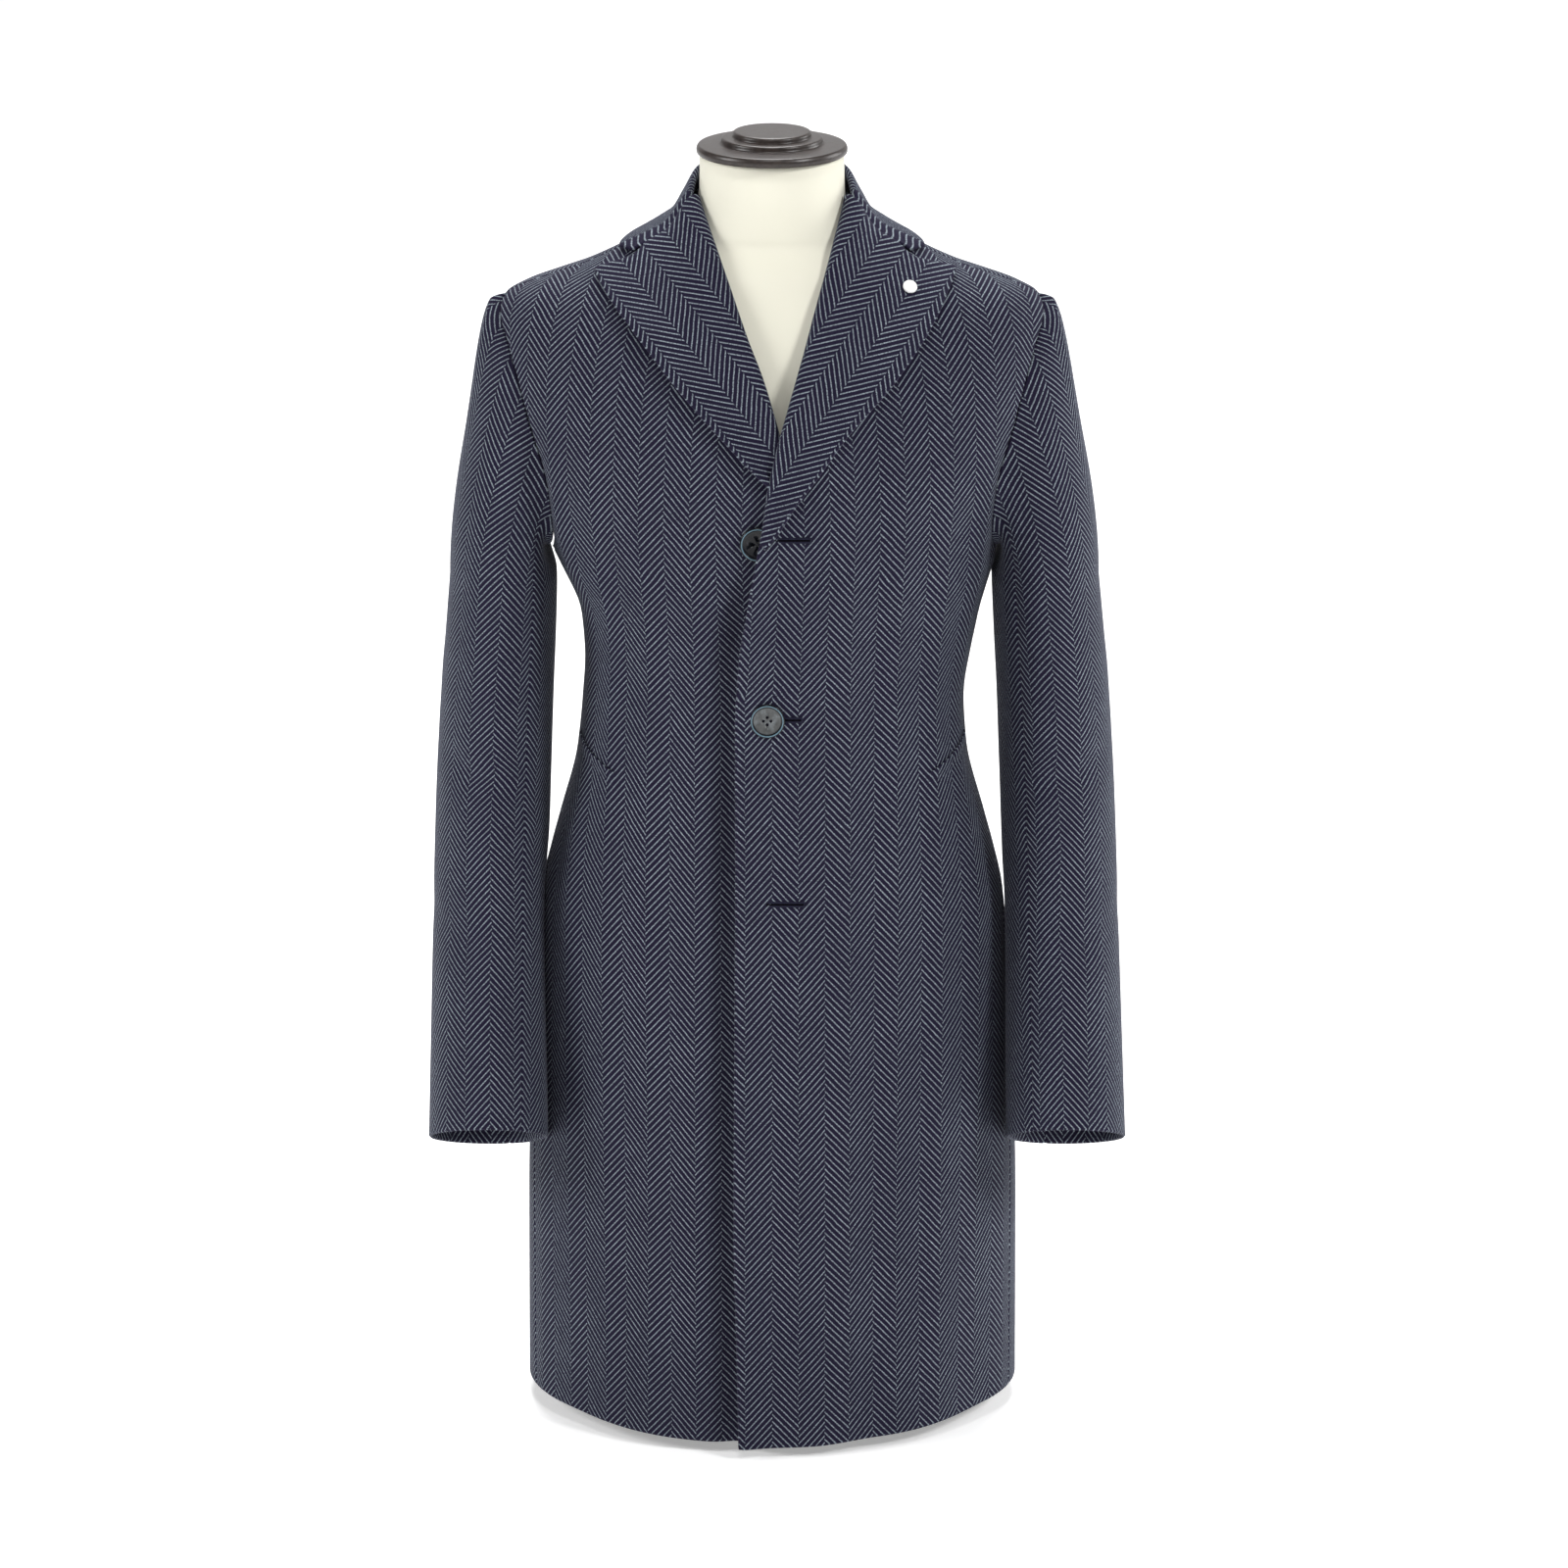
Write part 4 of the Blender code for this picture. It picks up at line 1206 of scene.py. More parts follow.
@dataclass
class Lapels:
    """Lapels that roll over the edge of each front and lie back on it."""

    shape: CoatShape
    cloth: bpy.types.Material
    gorge_seam: Array
    wall: float = 0.0030
    on_cloth: float = 0.0012
    seam_gap: float = 0.0006
    seam_share: float = 0.70
    sewn_part: float = 0.80
    puff: float = 0.0026
    edge_lift: float = 0.0062
    # shares of the way up and out where the puff, the free edge's lift and the pull to the collar
    # start and end
    puff_from: float = 0.30
    puff_rise: float = 0.35
    puff_wide: float = 0.50
    free_from: float = 0.55
    lift_rise: float = 0.25
    calm_from: float = 0.70
    calm_share: float = 0.70
    notch_soft: float = 0.10
    drawn_from: float = 0.62
    drawn_power: float = 1.3
    # roll over the front's edge: its share at the break, where it is full, its sizes and its cut
    roll_start: float = 0.45
    roll_rise: float = 0.16
    roll_most: float = 0.0085
    roll_room: float = 0.0010
    roll_deep: float = 0.85
    roll_cut: float = 0.95
    rows: int = 110
    columns: int = 46
    roll_columns: int = 12
    # roll line height and distance out, free edge height and distance out, from the break upward
    left_rows: Table = (
        (0.749, -0.0080, 0.7450, -0.0050), (0.766, -0.0036, 0.7570, 0.0030), (0.785, 0.0003, 0.7740, 0.0140),
        (0.818, 0.0079, 0.7990, 0.0330), (0.845, 0.0160, 0.8310, 0.0580), (0.873, 0.0245, 0.8630, 0.0893),
        (0.900, 0.0330, 0.9000, 0.1184), (0.935, 0.0440, 0.9230, 0.1325),
    )
    right_rows: Table = (
        (0.757, -0.0236, 0.7520, -0.0200), (0.780, -0.0187, 0.7760, -0.0115),
        (0.822, -0.0056, 0.8128, 0.0233), (0.845, 0.0015, 0.8372, 0.0468), (0.872, 0.0110, 0.8623, 0.0704),
        (0.901, 0.0235, 0.8960, 0.1000), (0.936, 0.0380, 0.9235, 0.1240),
    )
    # gorge seam and top edge, from the roll line to the tip: height, distance out
    left_gorge: Table = (
        (0.9860, 0.0590), (0.9775, 0.0700), (0.9690, 0.0800), (0.9590, 0.0930), (0.9495, 0.1095),
        (0.9395, 0.1420),
    )
    right_gorge: Table = (
        (0.9860, 0.0580), (0.9775, 0.0690), (0.9695, 0.0790), (0.9595, 0.0920), (0.9505, 0.1080),
        (0.9395, 0.1365),
    )

    def outline(self, side: Side) -> Array:
        """Heights and distances out over the whole lapel.

        Args:
            side: Side of the coat.

        Returns:
            Height and distance by row and column.
        """
        rows = self.left_rows if side is Side.LEFT else self.right_rows
        gorge = np.asarray(self.left_gorge if side is Side.LEFT else self.right_gorge)
        over = np.linspace(0.0, 1.0, len(gorge))[:, None]
        lines = [np.array((r[0], r[1])) * (1 - over) + np.array((r[2], r[3])) * over for r in rows] + [gorge]
        lines = np.stack(lines)
        up = np.linspace(0, len(lines) - 1, self.rows)
        flat = smooth_rows(np.arange(len(lines)), lines, up)
        t = uneven_steps(self.columns - 2, 0.015) * (len(gorge) - 1)
        i = np.minimum(t.astype(int), len(gorge) - 2)
        s = (t - i)[None, :, None]
        return flat[:, i] * (1 - s) + flat[:, i + 1] * s

    def build(self, side: Side) -> bpy.types.Object:
        """Make one lapel.

        Args:
            side: Side of the coat.

        Returns:
            The piece.
        """
        s, flat = self.shape, self.outline(side)
        z, x = flat[..., 0], side.sign * flat[..., 1]
        angle = s.angle_at(x, z)
        p, n = s.point(angle, z), s.normal(angle, z)
        over = np.linspace(0.0, 1.0, z.shape[1])[None, :]
        up = np.linspace(0.0, 1.0, z.shape[0])[:, None]
        puffed = ease((up - self.puff_from) / self.puff_rise) * (1 - ease(over / self.puff_wide))
        off = self.on_cloth + self.wall + self.puff * puffed
        free, risen = ease((over - self.free_from) / (1 - self.free_from)), ease(up / self.lift_rise)
        calm = 1 - self.calm_share * ease((up - self.calm_from) / self.lift_rise)
        off = off + self.edge_lift * free * risen * calm
        if side is Side.LEFT:
            off = off + s.lift(p[..., 0], p[..., 2])
        face = self.sewn(p + n * off[..., None], side, over[0], up)
        grain = self.flat(face, n, side)
        roll, roll_grain = self.roll(face, n[:, 0], off[:, 0], grain)
        grid, flat_cut = np.concatenate((roll, face), axis=1), np.concatenate((roll_grain, grain), axis=1)
        name = "lapel_" + side.value
        shell = ClothShell(name + "_cloth", grid, flat_cut, self.wall, side is Side.RIGHT)
        return hang(shell, self.cloth, name)

    def sewn(self, face: Array, side: Side, over: Array, up: Array) -> Array:
        """Bring the top of the lapel up to the collar's front end, as far as the notch.

        Args:
            face: Points of the lapel's face.
            side: Side of the coat.
            over: Share of the way out, by column.
            up: Share of the way up, by row.

        Returns:
            Points of the face, sewn on along the gorge.
        """
        seam = self.gorge_seam * np.array((side.sign, 1.0, 1.0))
        run = run_along(seam)
        share = np.clip(over / self.seam_share, 0.0, 1.0) * run[-1] * self.sewn_part
        goal = np.stack([np.interp(share, run, seam[:, k]) for k in range(3)], axis=-1)
        shift = goal + unit(face[-4] - goal) * self.seam_gap - face[-1]
        shift = shift * (1 - ease((over - self.seam_share) / self.notch_soft))[:, None]
        drawn = ease((up - self.drawn_from) / (1 - self.drawn_from)) ** self.drawn_power
        return face + shift[None] * drawn[..., None]

    def flat(self, face: Array, n: Array, side: Side) -> Array:
        """Lay the face flat, with the grain along its free edge.

        Args:
            face: Points of the lapel's face.
            n: Outward directions.
            side: Side of the coat.

        Returns:
            Distance across and along the grain in the last axis.
        """
        out = unit(n.reshape(-1, 3).mean(axis=0))
        along = face[-2, -1] - face[len(face) // 4, -1]
        along = unit(along - out * (along @ out))
        across = np.cross(along, out) * side.sign
        rest = face - face[-2, -1]
        return np.stack((rest @ across, rest @ along), axis=-1)

    def roll(self, face: Array, n: Array, off: Array, grain: Array) -> tuple[Array, Array]:
        """Soft turn of the cloth over the edge of the front.

        Args:
            face: Points of the lapel's face.
            n: Outward directions along the roll line.
            off: How far the face stands out along the roll line.
            grain: Flat places of the face.

        Returns:
            Points of the roll and their flat places.
        """
        inward = unit(face[:, 0] - face[:, 2])
        full = ease(np.linspace(0.0, 1.0, len(face)) / self.roll_rise)
        fade = self.roll_start + (1 - self.roll_start) * full
        radius = (np.minimum(off, self.roll_most) + self.shape.wall + self.roll_room) / 2 * fade
        middle = face[:, 0] - n * radius[:, None]
        turn = np.linspace(math.pi, 0.0, self.roll_columns + 1)[:-1]
        c, s = np.cos(turn)[None, :, None], np.sin(turn)[None, :, None]
        r = radius[:, None, None]
        points = middle[:, None] + n[:, None] * r * c + inward[:, None] * r * s * self.roll_deep
        step = unit(grain[:, 0] - grain[:, 2])
        flat = grain[:, :1] + step[:, None] * (turn[None, :, None] * r * self.roll_cut)
        return points, flat


@dataclass
class Collar:
    """Collar with a stand round the neck, a fold and a fall on the shoulders."""

    shape: CoatShape
    cloth: bpy.types.Material
    wall: float = 0.0028
    off: float = 0.0052
    stand_lift: float = 0.0030
    stand_bow: float = 0.0004
    fold_in: float = 0.0026
    fold_drop: float = 0.0045
    fold_turn: float = 0.0008
    # share of a section, from its foot, where the end that shows starts
    end_from: float = 0.425
    rows: int = 150
    columns: int = 64
    # fold x, y, z, then angle and height of the outer edge on the coat, front end to centre back
    sections: Table = (
        (0.0645, -0.0205, 0.9990, 64.5, 0.9545), (0.0640, -0.0150, 1.0030, 81.0, 0.9548),
        (0.0618, 0.0020, 1.0105, 100.0, 0.9600), (0.0568, 0.0220, 1.0150, 122.0, 0.9620),
        (0.0446, 0.0425, 1.0170, 143.0, 0.9630), (0.0243, 0.0565, 1.0180, 162.0, 0.9640),
        (0.0000, 0.0615, 1.0180, 180.0, 0.9645),
    )
    # share of the way out, share of the way down
    fall: Table = ((0.05, 0.03), (0.165, 0.24), (0.36, 0.58), (0.67, 0.80), (1.0, 1.0))

    def section(self, row: tuple[float, ...]) -> Array:
        """Points of one section from the foot of the stand to the outer edge.

        Args:
            row: Row of the section table.

        Returns:
            Points.
        """
        s, fold = self.shape, np.array(row[:3])
        angle, z = np.array(row[3]), np.array(row[4])
        edge = s.point(angle, z) + s.normal(angle, z) * self.off
        neck = np.array(s.neck_z)
        raised = s.point(angle, neck) + np.array((0.0, 0.0, self.stand_lift))
        foot = raised - s.normal(angle, neck) * self.wall
        out = edge - fold
        flat = unit(np.array((out[0], out[1], 0.0)))
        up = np.array((0.0, 0.0, 1.0))
        top = fold - flat * self.fold_in - up * self.fold_drop
        under = fold - flat * self.fold_turn - up * self.fold_turn
        points = [foot, foot * 0.5 + top * 0.5 - flat * self.stand_bow, top, under]
        points += [fold + np.array((out[0] * a, out[1] * a, out[2] * b)) for a, b in self.fall]
        return np.array(points)

    def front_end(self) -> Array:
        """Left front end of the collar, from its fold to its outer edge.

        Returns:
            Points in order.
        """
        line = spline(self.section(self.sections[0]), self.columns)
        return line[int(round(self.columns * self.end_from)):]

    def build(self) -> bpy.types.Object:
        """Make the collar.

        Returns:
            The piece.
        """
        half = np.stack([self.section(row) for row in self.sections])
        whole = np.concatenate((half, half[-2::-1] * np.array((-1.0, 1.0, 1.0))))
        wide = spline(whole, self.rows)
        grid = np.swapaxes(spline(np.swapaxes(wide, 0, 1), self.columns), 0, 1)
        middle = self.columns * 2 // 3
        u = run_along(grid[:, middle])
        u = u - u[self.rows // 2]
        down = np.linalg.norm(np.diff(grid, axis=1), axis=-1)
        v = np.concatenate((np.zeros((self.rows, 1)), np.cumsum(down, axis=1)), axis=1)
        grain = np.stack((np.broadcast_to(u[:, None], v.shape), v), axis=-1)
        shell = ClothShell("collar_cloth", grid, grain, self.wall)
        return hang(shell, self.cloth, "collar")


@dataclass
class PocketWelts:
    """Slanted welts over the side pockets."""

    shape: CoatShape
    cloth: bpy.types.Material
    ends: tuple[float, float, float, float] = (50.0, 0.5477, 82.0, 0.5670)
    high: float = 0.011
    thick: float = 0.0016
    wall: float = 0.00096
    on_cloth: float = 0.0003
    end_soft: float = 0.06
    rise: float = 0.8

    def build(self, side: Side) -> bpy.types.Object:
        """Make one welt.

        Args:
            side: Side of the coat.

        Returns:
            The piece.
        """
        a0, z0, a1, z1 = self.ends
        t, k = np.meshgrid(uneven_steps(40, 0.02), np.linspace(-1.0, 0.0, 14), indexing="ij")
        angle, z = side.sign * (a0 + (a1 - a0) * t), z0 + (z1 - z0) * t + self.high * k
        s = self.shape
        ends = ease(t / self.end_soft) * ease((1 - t) / self.end_soft)
        off = s.crease(angle, z) + self.on_cloth + self.thick * ease((k + 1) / self.rise) * ends
        grid = s.point(angle, z) + s.normal(angle, z) * off[..., None]
        name = "pocket_welt_" + side.value
        shell = ClothShell(name + "_cloth", grid, s.grain(angle, z), self.wall, side is Side.LEFT)
        return hang(shell, self.cloth, name)


def joined(obj: bpy.types.Object) -> bpy.types.Object:
    """Join the points of a mesh that lie in one place.

    Args:
        obj: Piece.

    Returns:
        The piece.
    """
    work = bmesh.new()
    work.from_mesh(obj.data)
    bmesh.ops.remove_doubles(work, verts=work.verts, dist=1e-6)
    bmesh.ops.recalc_face_normals(work, faces=work.faces)
    work.to_mesh(obj.data)
    work.free()
    return obj


def wrapped(name: str, grid: Array, finish: bpy.types.Material) -> bpy.types.Object:
    """Closed skin over a pile of rings.

    Args:
        name: Piece name.
        grid: Points by ring and by place round it, with the first and last ring in one point.
        finish: Material.

    Returns:
        The new object.
    """
    rings, steps = grid.shape[:2]
    i, j = (k.ravel() for k in np.meshgrid(np.arange(rings - 1), np.arange(steps), indexing="ij"))
    low, high, n = i * steps, (i + 1) * steps, (j + 1) % steps
    faces = np.stack((low + j, low + n, high + n, high + j), axis=1)
    u = np.stack((j, j + 1, j + 1, j), axis=1) / steps
    v = np.stack((i, i, i + 1, i + 1), axis=1) / (rings - 1)
    bake = np.stack((u, v), axis=-1) * 0.98 + 0.01
    return joined(show(name, grid.reshape(-1, 3), faces, {"OFBake": bake}, finish))


def turned(name: str, profile: Table, steps: int, finish: bpy.types.Material) -> bpy.types.Object:
    """Solid of turning about Z.

    Args:
        name: Piece name.
        profile: Radius and height from the bottom middle to the top middle.
        steps: Steps round the axis.
        finish: Material.

    Returns:
        The new object.
    """
    a = np.linspace(0.0, 2 * math.pi, steps, endpoint=False)
    rows = np.asarray(profile, float)
    r = rows[:, :1]
    points = np.stack((r * np.cos(a), r * np.sin(a), np.repeat(rows[:, 1:], steps, axis=1)), axis=-1)
    return wrapped(name, points, finish)


def rounded(profile: Table, radius: float, steps: int = 5) -> Table:
    """Round off the inner corners of a profile.

    Args:
        profile: Points of the profile.
        radius: How far along each leg the rounding starts.
        steps: Steps round each corner.

    Returns:
        The rounded profile.
    """
    p = [np.array(q, float) for q in profile]
    out = [p[0]]
    for a, b, c in zip(p, p[1:], p[2:]):
        first = b + unit(a - b) * min(radius, 0.45 * float(np.linalg.norm(a - b)))
        last = b + unit(c - b) * min(radius, 0.45 * float(np.linalg.norm(c - b)))
        for t in np.linspace(0.0, 1.0, steps):
            out.append(first * (1 - t) ** 2 + b * 2 * t * (1 - t) + last * t * t)
    out.append(p[-1])
    return tuple(tuple(q) for q in out)


@dataclass
class Spot:
    """Place on the coat with its own right, up and outward directions."""

    point: Array
    right: Array
    up: Array
    out: Array

    def place(self, obj: bpy.types.Object) -> None:
        """Move a mesh made about the origin to the spot.

        Args:
            obj: Piece.
        """
        count = len(obj.data.vertices)
        co = np.empty(count * 3, np.float32)
        obj.data.vertices.foreach_get("co", co)
        co = co.reshape(-1, 3)
        moved = self.point + co[:, :1] * self.right + co[:, 1:2] * self.up + co[:, 2:] * self.out
        obj.data.vertices.foreach_set("co", moved.astype(np.float32).ravel())
        obj.data.update()


def spot_on(shape: CoatShape, x: float, z: float, off: float, left: bool) -> Spot:
    """Place on a front.

    Args:
        shape: Form of the coat.
        x: Distance out from centre.
        z: Height.
        off: Distance outward from the cloth.
        left: True if it lies on the left front.

    Returns:
        The place.
    """
    def at(px: float, pz: float) -> Array:
        angle = shape.angle_at(np.array(px), np.array(pz))
        p = shape.point(angle, np.array(pz))
        rise = shape.lift(p[0], p[2]) if left else 0.0
        return p + shape.normal(angle, np.array(pz)) * (rise + shape.crease(angle, np.array(pz)) + off)

    here, near = at(x, z), 0.003
    right = unit(at(x + near, z) - at(x - near, z))
    out = unit(np.cross(right, unit(at(x, z + near) - at(x, z - near))))
    return Spot(here, right, np.cross(out, right), out)


@dataclass(frozen=True)
class Stitch:
    """Straight stitch between two flat points at a height."""

    start: Array
    end: Array
    radius: float
    height: float


def stitch_mesh(name: str, stitches: list[Stitch], finish: bpy.types.Material) -> bpy.types.Object:
    """Make many stitches in one mesh.

    Args:
        name: Piece name.
        stitches: Stitches to make.
        finish: Thread.

    Returns:
        The new object.
    """
    # share of the length, share of the radius, lift in radii
    ends = ((-0.15, 0.30, -0.8), (0.0, 0.75, -0.2), (0.2, 1.0, 0.15),
            (0.8, 1.0, 0.15), (1.0, 0.75, -0.2), (1.15, 0.30, -0.8))
    sides = 7
    points, faces = [], []
    for s in stitches:
        along = np.append(s.end - s.start, 0.0)
        across = unit(np.array((-along[1], along[0], 0.0)))
        base = len(points)
        for t, r, lift in ends:
            for k in range(sides):
                a = 2 * math.pi * k / sides
                points.append(np.append(s.start, s.height) + along * t + across * s.radius * r * math.cos(a)
                              + np.array((0.0, 0.0, s.radius * (r * math.sin(a) + lift))))
        for i in range(len(ends) - 1):
            low, high = base + i * sides, base + (i + 1) * sides
            for k in range(sides):
                n = (k + 1) % sides
                faces.append((low + k, low + n, high + n, high + k))
    quads = np.array(faces)
    count = int(math.ceil(math.sqrt(len(quads))))
    k = np.arange(len(quads))
    low = np.stack((k % count, k // count), axis=1)[:, None, :] / count
    square = np.array(((0.1, 0.1), (0.9, 0.1), (0.9, 0.9), (0.1, 0.9)))[None] / count
    return show(name, np.array(points), quads, {"OFBake": low + square}, finish)


@dataclass
class Buttons:
    """Horn buttons with a dished face, and the plain round one on the lapel."""

    shape: CoatShape
    horn: bpy.types.Material
    thread: bpy.types.Material
    white: bpy.types.Material
    radius: float = 0.0140
    thick: float = 0.0040
    rim: float = 0.0021
    dish: float = 0.0012
    hole: float = 0.0012
    hole_off: float = 0.0029
    soft: float = 0.0008
    on_cloth: float = 0.0004
    on_lapel: float = 0.0048
    thread_radius: float = 0.00075
    thread_half: float = 0.0004
    thread_high: float = 0.34
    lapel_radius: float = 0.0058
    lapel_thick: float = 0.0030
    # distance out from centre, height, whether it lies on the left front
    places: dict[str, tuple[float, float, bool]] = field(default_factory=lambda: {
        "button_top": (-0.0112, 0.7463, False),
        "button_middle": (-0.0036, 0.6042, True),
        "button_bottom": (-0.0020, 0.4544, False),
    })
    lapel_place: tuple[float, float] = (0.1063, 0.9316)

    def profile(self) -> Table:
        """Half section of a button.

        Returns:
            Radius and height.
        """
        r, t, flat = self.radius, self.thick, self.radius - self.rim
        edge = ((0, 0), (r * 0.72, 0), (r * 0.97, t * 0.40), (r, t * 0.66), (r * 0.965, t * 0.93))
        face = ((r * 0.90, t), (flat * 1.02, t * 0.95))
        dish = ((flat * 0.88, t - self.dish), (0, t - self.dish * 1.25))
        return rounded(edge + face + dish, self.soft)

    def build(self) -> None:
        """Make the buttons and sew them on."""
        for name, (x, z, left) in self.places.items():
            spot = spot_on(self.shape, x, z, self.on_cloth, left)
            obj = turned(name + "_horn", self.profile(), 72, self.horn)
            self.drill(obj)
            spot.place(obj)
            dress(obj, name)
            self.sew(name, spot)
        r, h = self.lapel_radius, self.lapel_thick
        spot = spot_on(self.shape, *self.lapel_place, self.on_lapel, True)
        half = ((0, 0), (r * 0.92, 0), (r, h * 0.4), (r * 0.9, h * 0.86), (r * 0.78, h * 0.80), (0, h))
        obj = turned("lapel_button_white", rounded(half, 0.0007), 56, self.white)
        spot.place(obj)
        dress(obj, "lapel_button")

    def drill(self, obj: bpy.types.Object) -> None:
        """Sink the four holes into a button.

        Args:
            obj: Button, still about the origin.
        """
        for k in range(4):
            a = math.radians(90 * k)
            low, high = self.thick * 0.3, self.thick * 1.5
            bit = turned("bit", ((0, low), (self.hole, low), (self.hole, high), (0, high)), 20, self.horn)
            Spot(np.array((math.cos(a), math.sin(a), 0.0)) * self.hole_off, *np.eye(3)).place(bit)
            cut = obj.modifiers.new("hole", "BOOLEAN")
            cut.object, cut.operation, cut.solver = bit, "DIFFERENCE", "EXACT"
            mesh = bpy.data.meshes.new_from_object(obj.evaluated_get(bpy.context.evaluated_depsgraph_get()))
            obj.modifiers.clear()
            obj.data = mesh
            bpy.data.objects.remove(bit, do_unlink=True)

    def sew(self, name: str, spot: Spot) -> None:
        """Fill the holes with the thread that comes up through them.

        Args:
            name: Button name.
            spot: Where the button is.
        """
        stitches = []
        for k in range(4):
            way = np.array((math.cos(math.radians(90 * k)), math.sin(math.radians(90 * k))))
            start, end = way * (self.hole_off - self.thread_half), way * (self.hole_off + self.thread_half)
            stitches.append(Stitch(start, end, self.thread_radius, self.thick * self.thread_high))
        obj = stitch_mesh(name + "_thread", stitches, self.thread)
        spot.place(obj)
        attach(obj, "root")


@dataclass
class Buttonholes:
    """Keyhole buttonholes worked in dark thread."""

    shape: CoatShape
    thread: bpy.types.Material
    slit: bpy.types.Material
    pace: float = 0.00062
    half_gap: float = 0.0006
    bite: float = 0.0016
    eyelet: float = 0.0016
    stitch_radius: float = 0.0004
    stitch_high: float = 0.0003
    bar_half: float = 0.0018
    bar_pace: float = 0.0003
    bar_high: float = 0.0005
    slit_pace: float = 0.0012
    slit_stitch: float = 0.0014
    slit_radius: float = 0.0007
    slit_high: float = 0.0002
    eye_half: float = 0.0006
    eye_radius: float = 0.0011
    # eyelet end x, height, other end x
    places: dict[str, tuple[float, float, float]] = field(default_factory=lambda: {
        "buttonhole_top": (-0.0012, 0.7510, 0.0300),
        "buttonhole_middle": (-0.0030, 0.6042, 0.0230),
        "buttonhole_bottom": (-0.0037, 0.4557, 0.0252),
    })

    def path(self, length: float) -> Array:
        """Line round the slit and its eyelet, about the eyelet.

        Args:
            length: Length of the slit.

        Returns:
            Flat points.
        """
        r, g = self.eyelet, self.half_gap
        a = np.linspace(math.radians(35), math.radians(325), 26)
        ring = np.stack((r * np.cos(a), r * np.sin(a)), axis=1)
        far = np.array(((length, -g), (length, g)))
        near = np.array(((r, g),))
        return np.concatenate((far[1:], near, ring, np.array(((r, -g),)), far[:1]))

    def worked(self, length: float) -> list[Stitch]:
        """Stitches round the slit, and the bar across its end.

        Args:
            length: Length of the slit.

        Returns:
            The stitches.
        """
        line = self.path(length)
        run = run_along(line)
        at = np.arange(0.0, run[-1], self.pace)
        px, py = np.interp(at, run, line[:, 0]), np.interp(at, run, line[:, 1])
        d = unit(np.stack((np.gradient(px), np.gradient(py)), axis=1))
        outward = np.stack((d[:, 1], -d[:, 0]), axis=1)
        outward = outward * np.where(outward[:, 1] * py < 0, -1.0, 1.0)[:, None]
        stitches = [Stitch(p, p + o * self.bite, self.stitch_radius, self.stitch_high)
                    for p, o in zip(np.stack((px, py), axis=1), outward)]
        for k in range(3):
            low, high = (np.array((length + self.bar_pace * k, y)) for y in (-self.bar_half, self.bar_half))
            stitches.append(Stitch(low, high, self.stitch_radius, self.bar_high))
        return stitches

    def depth(self, length: float) -> list[Stitch]:
        """Near-black fill of the slit and its eyelet, painted shade where the cut opens.

        Args:
            length: Length of the slit.

        Returns:
            The fill, as stitches.
        """
        step = np.array((self.slit_stitch, 0.0))
        starts = [np.array((x, 0.0)) for x in np.arange(0, length, self.slit_pace)]
        fill = [Stitch(start, start + step, self.slit_radius, self.slit_high) for start in starts]
        h = self.eye_half
        return fill + [Stitch(np.array((-h, y)), np.array((h, y)), self.eye_radius, 0.0) for y in (-h, h)]

    def build(self) -> None:
        """Make the buttonholes."""
        for name, (x, z, end) in self.places.items():
            work, fill = self.worked(end - x), self.depth(end - x)
            spot = spot_on(self.shape, x, z, 0.0, True)
            # the slit's fill is a near-black sheet of painted shade
            for obj in (stitch_mesh(name, work, self.thread), stitch_mesh(name + "_slit", fill, self.slit)):
                spot.place(obj)
                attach(obj, "root")
            LOG.info("%s: %d stitches", name, len(work))


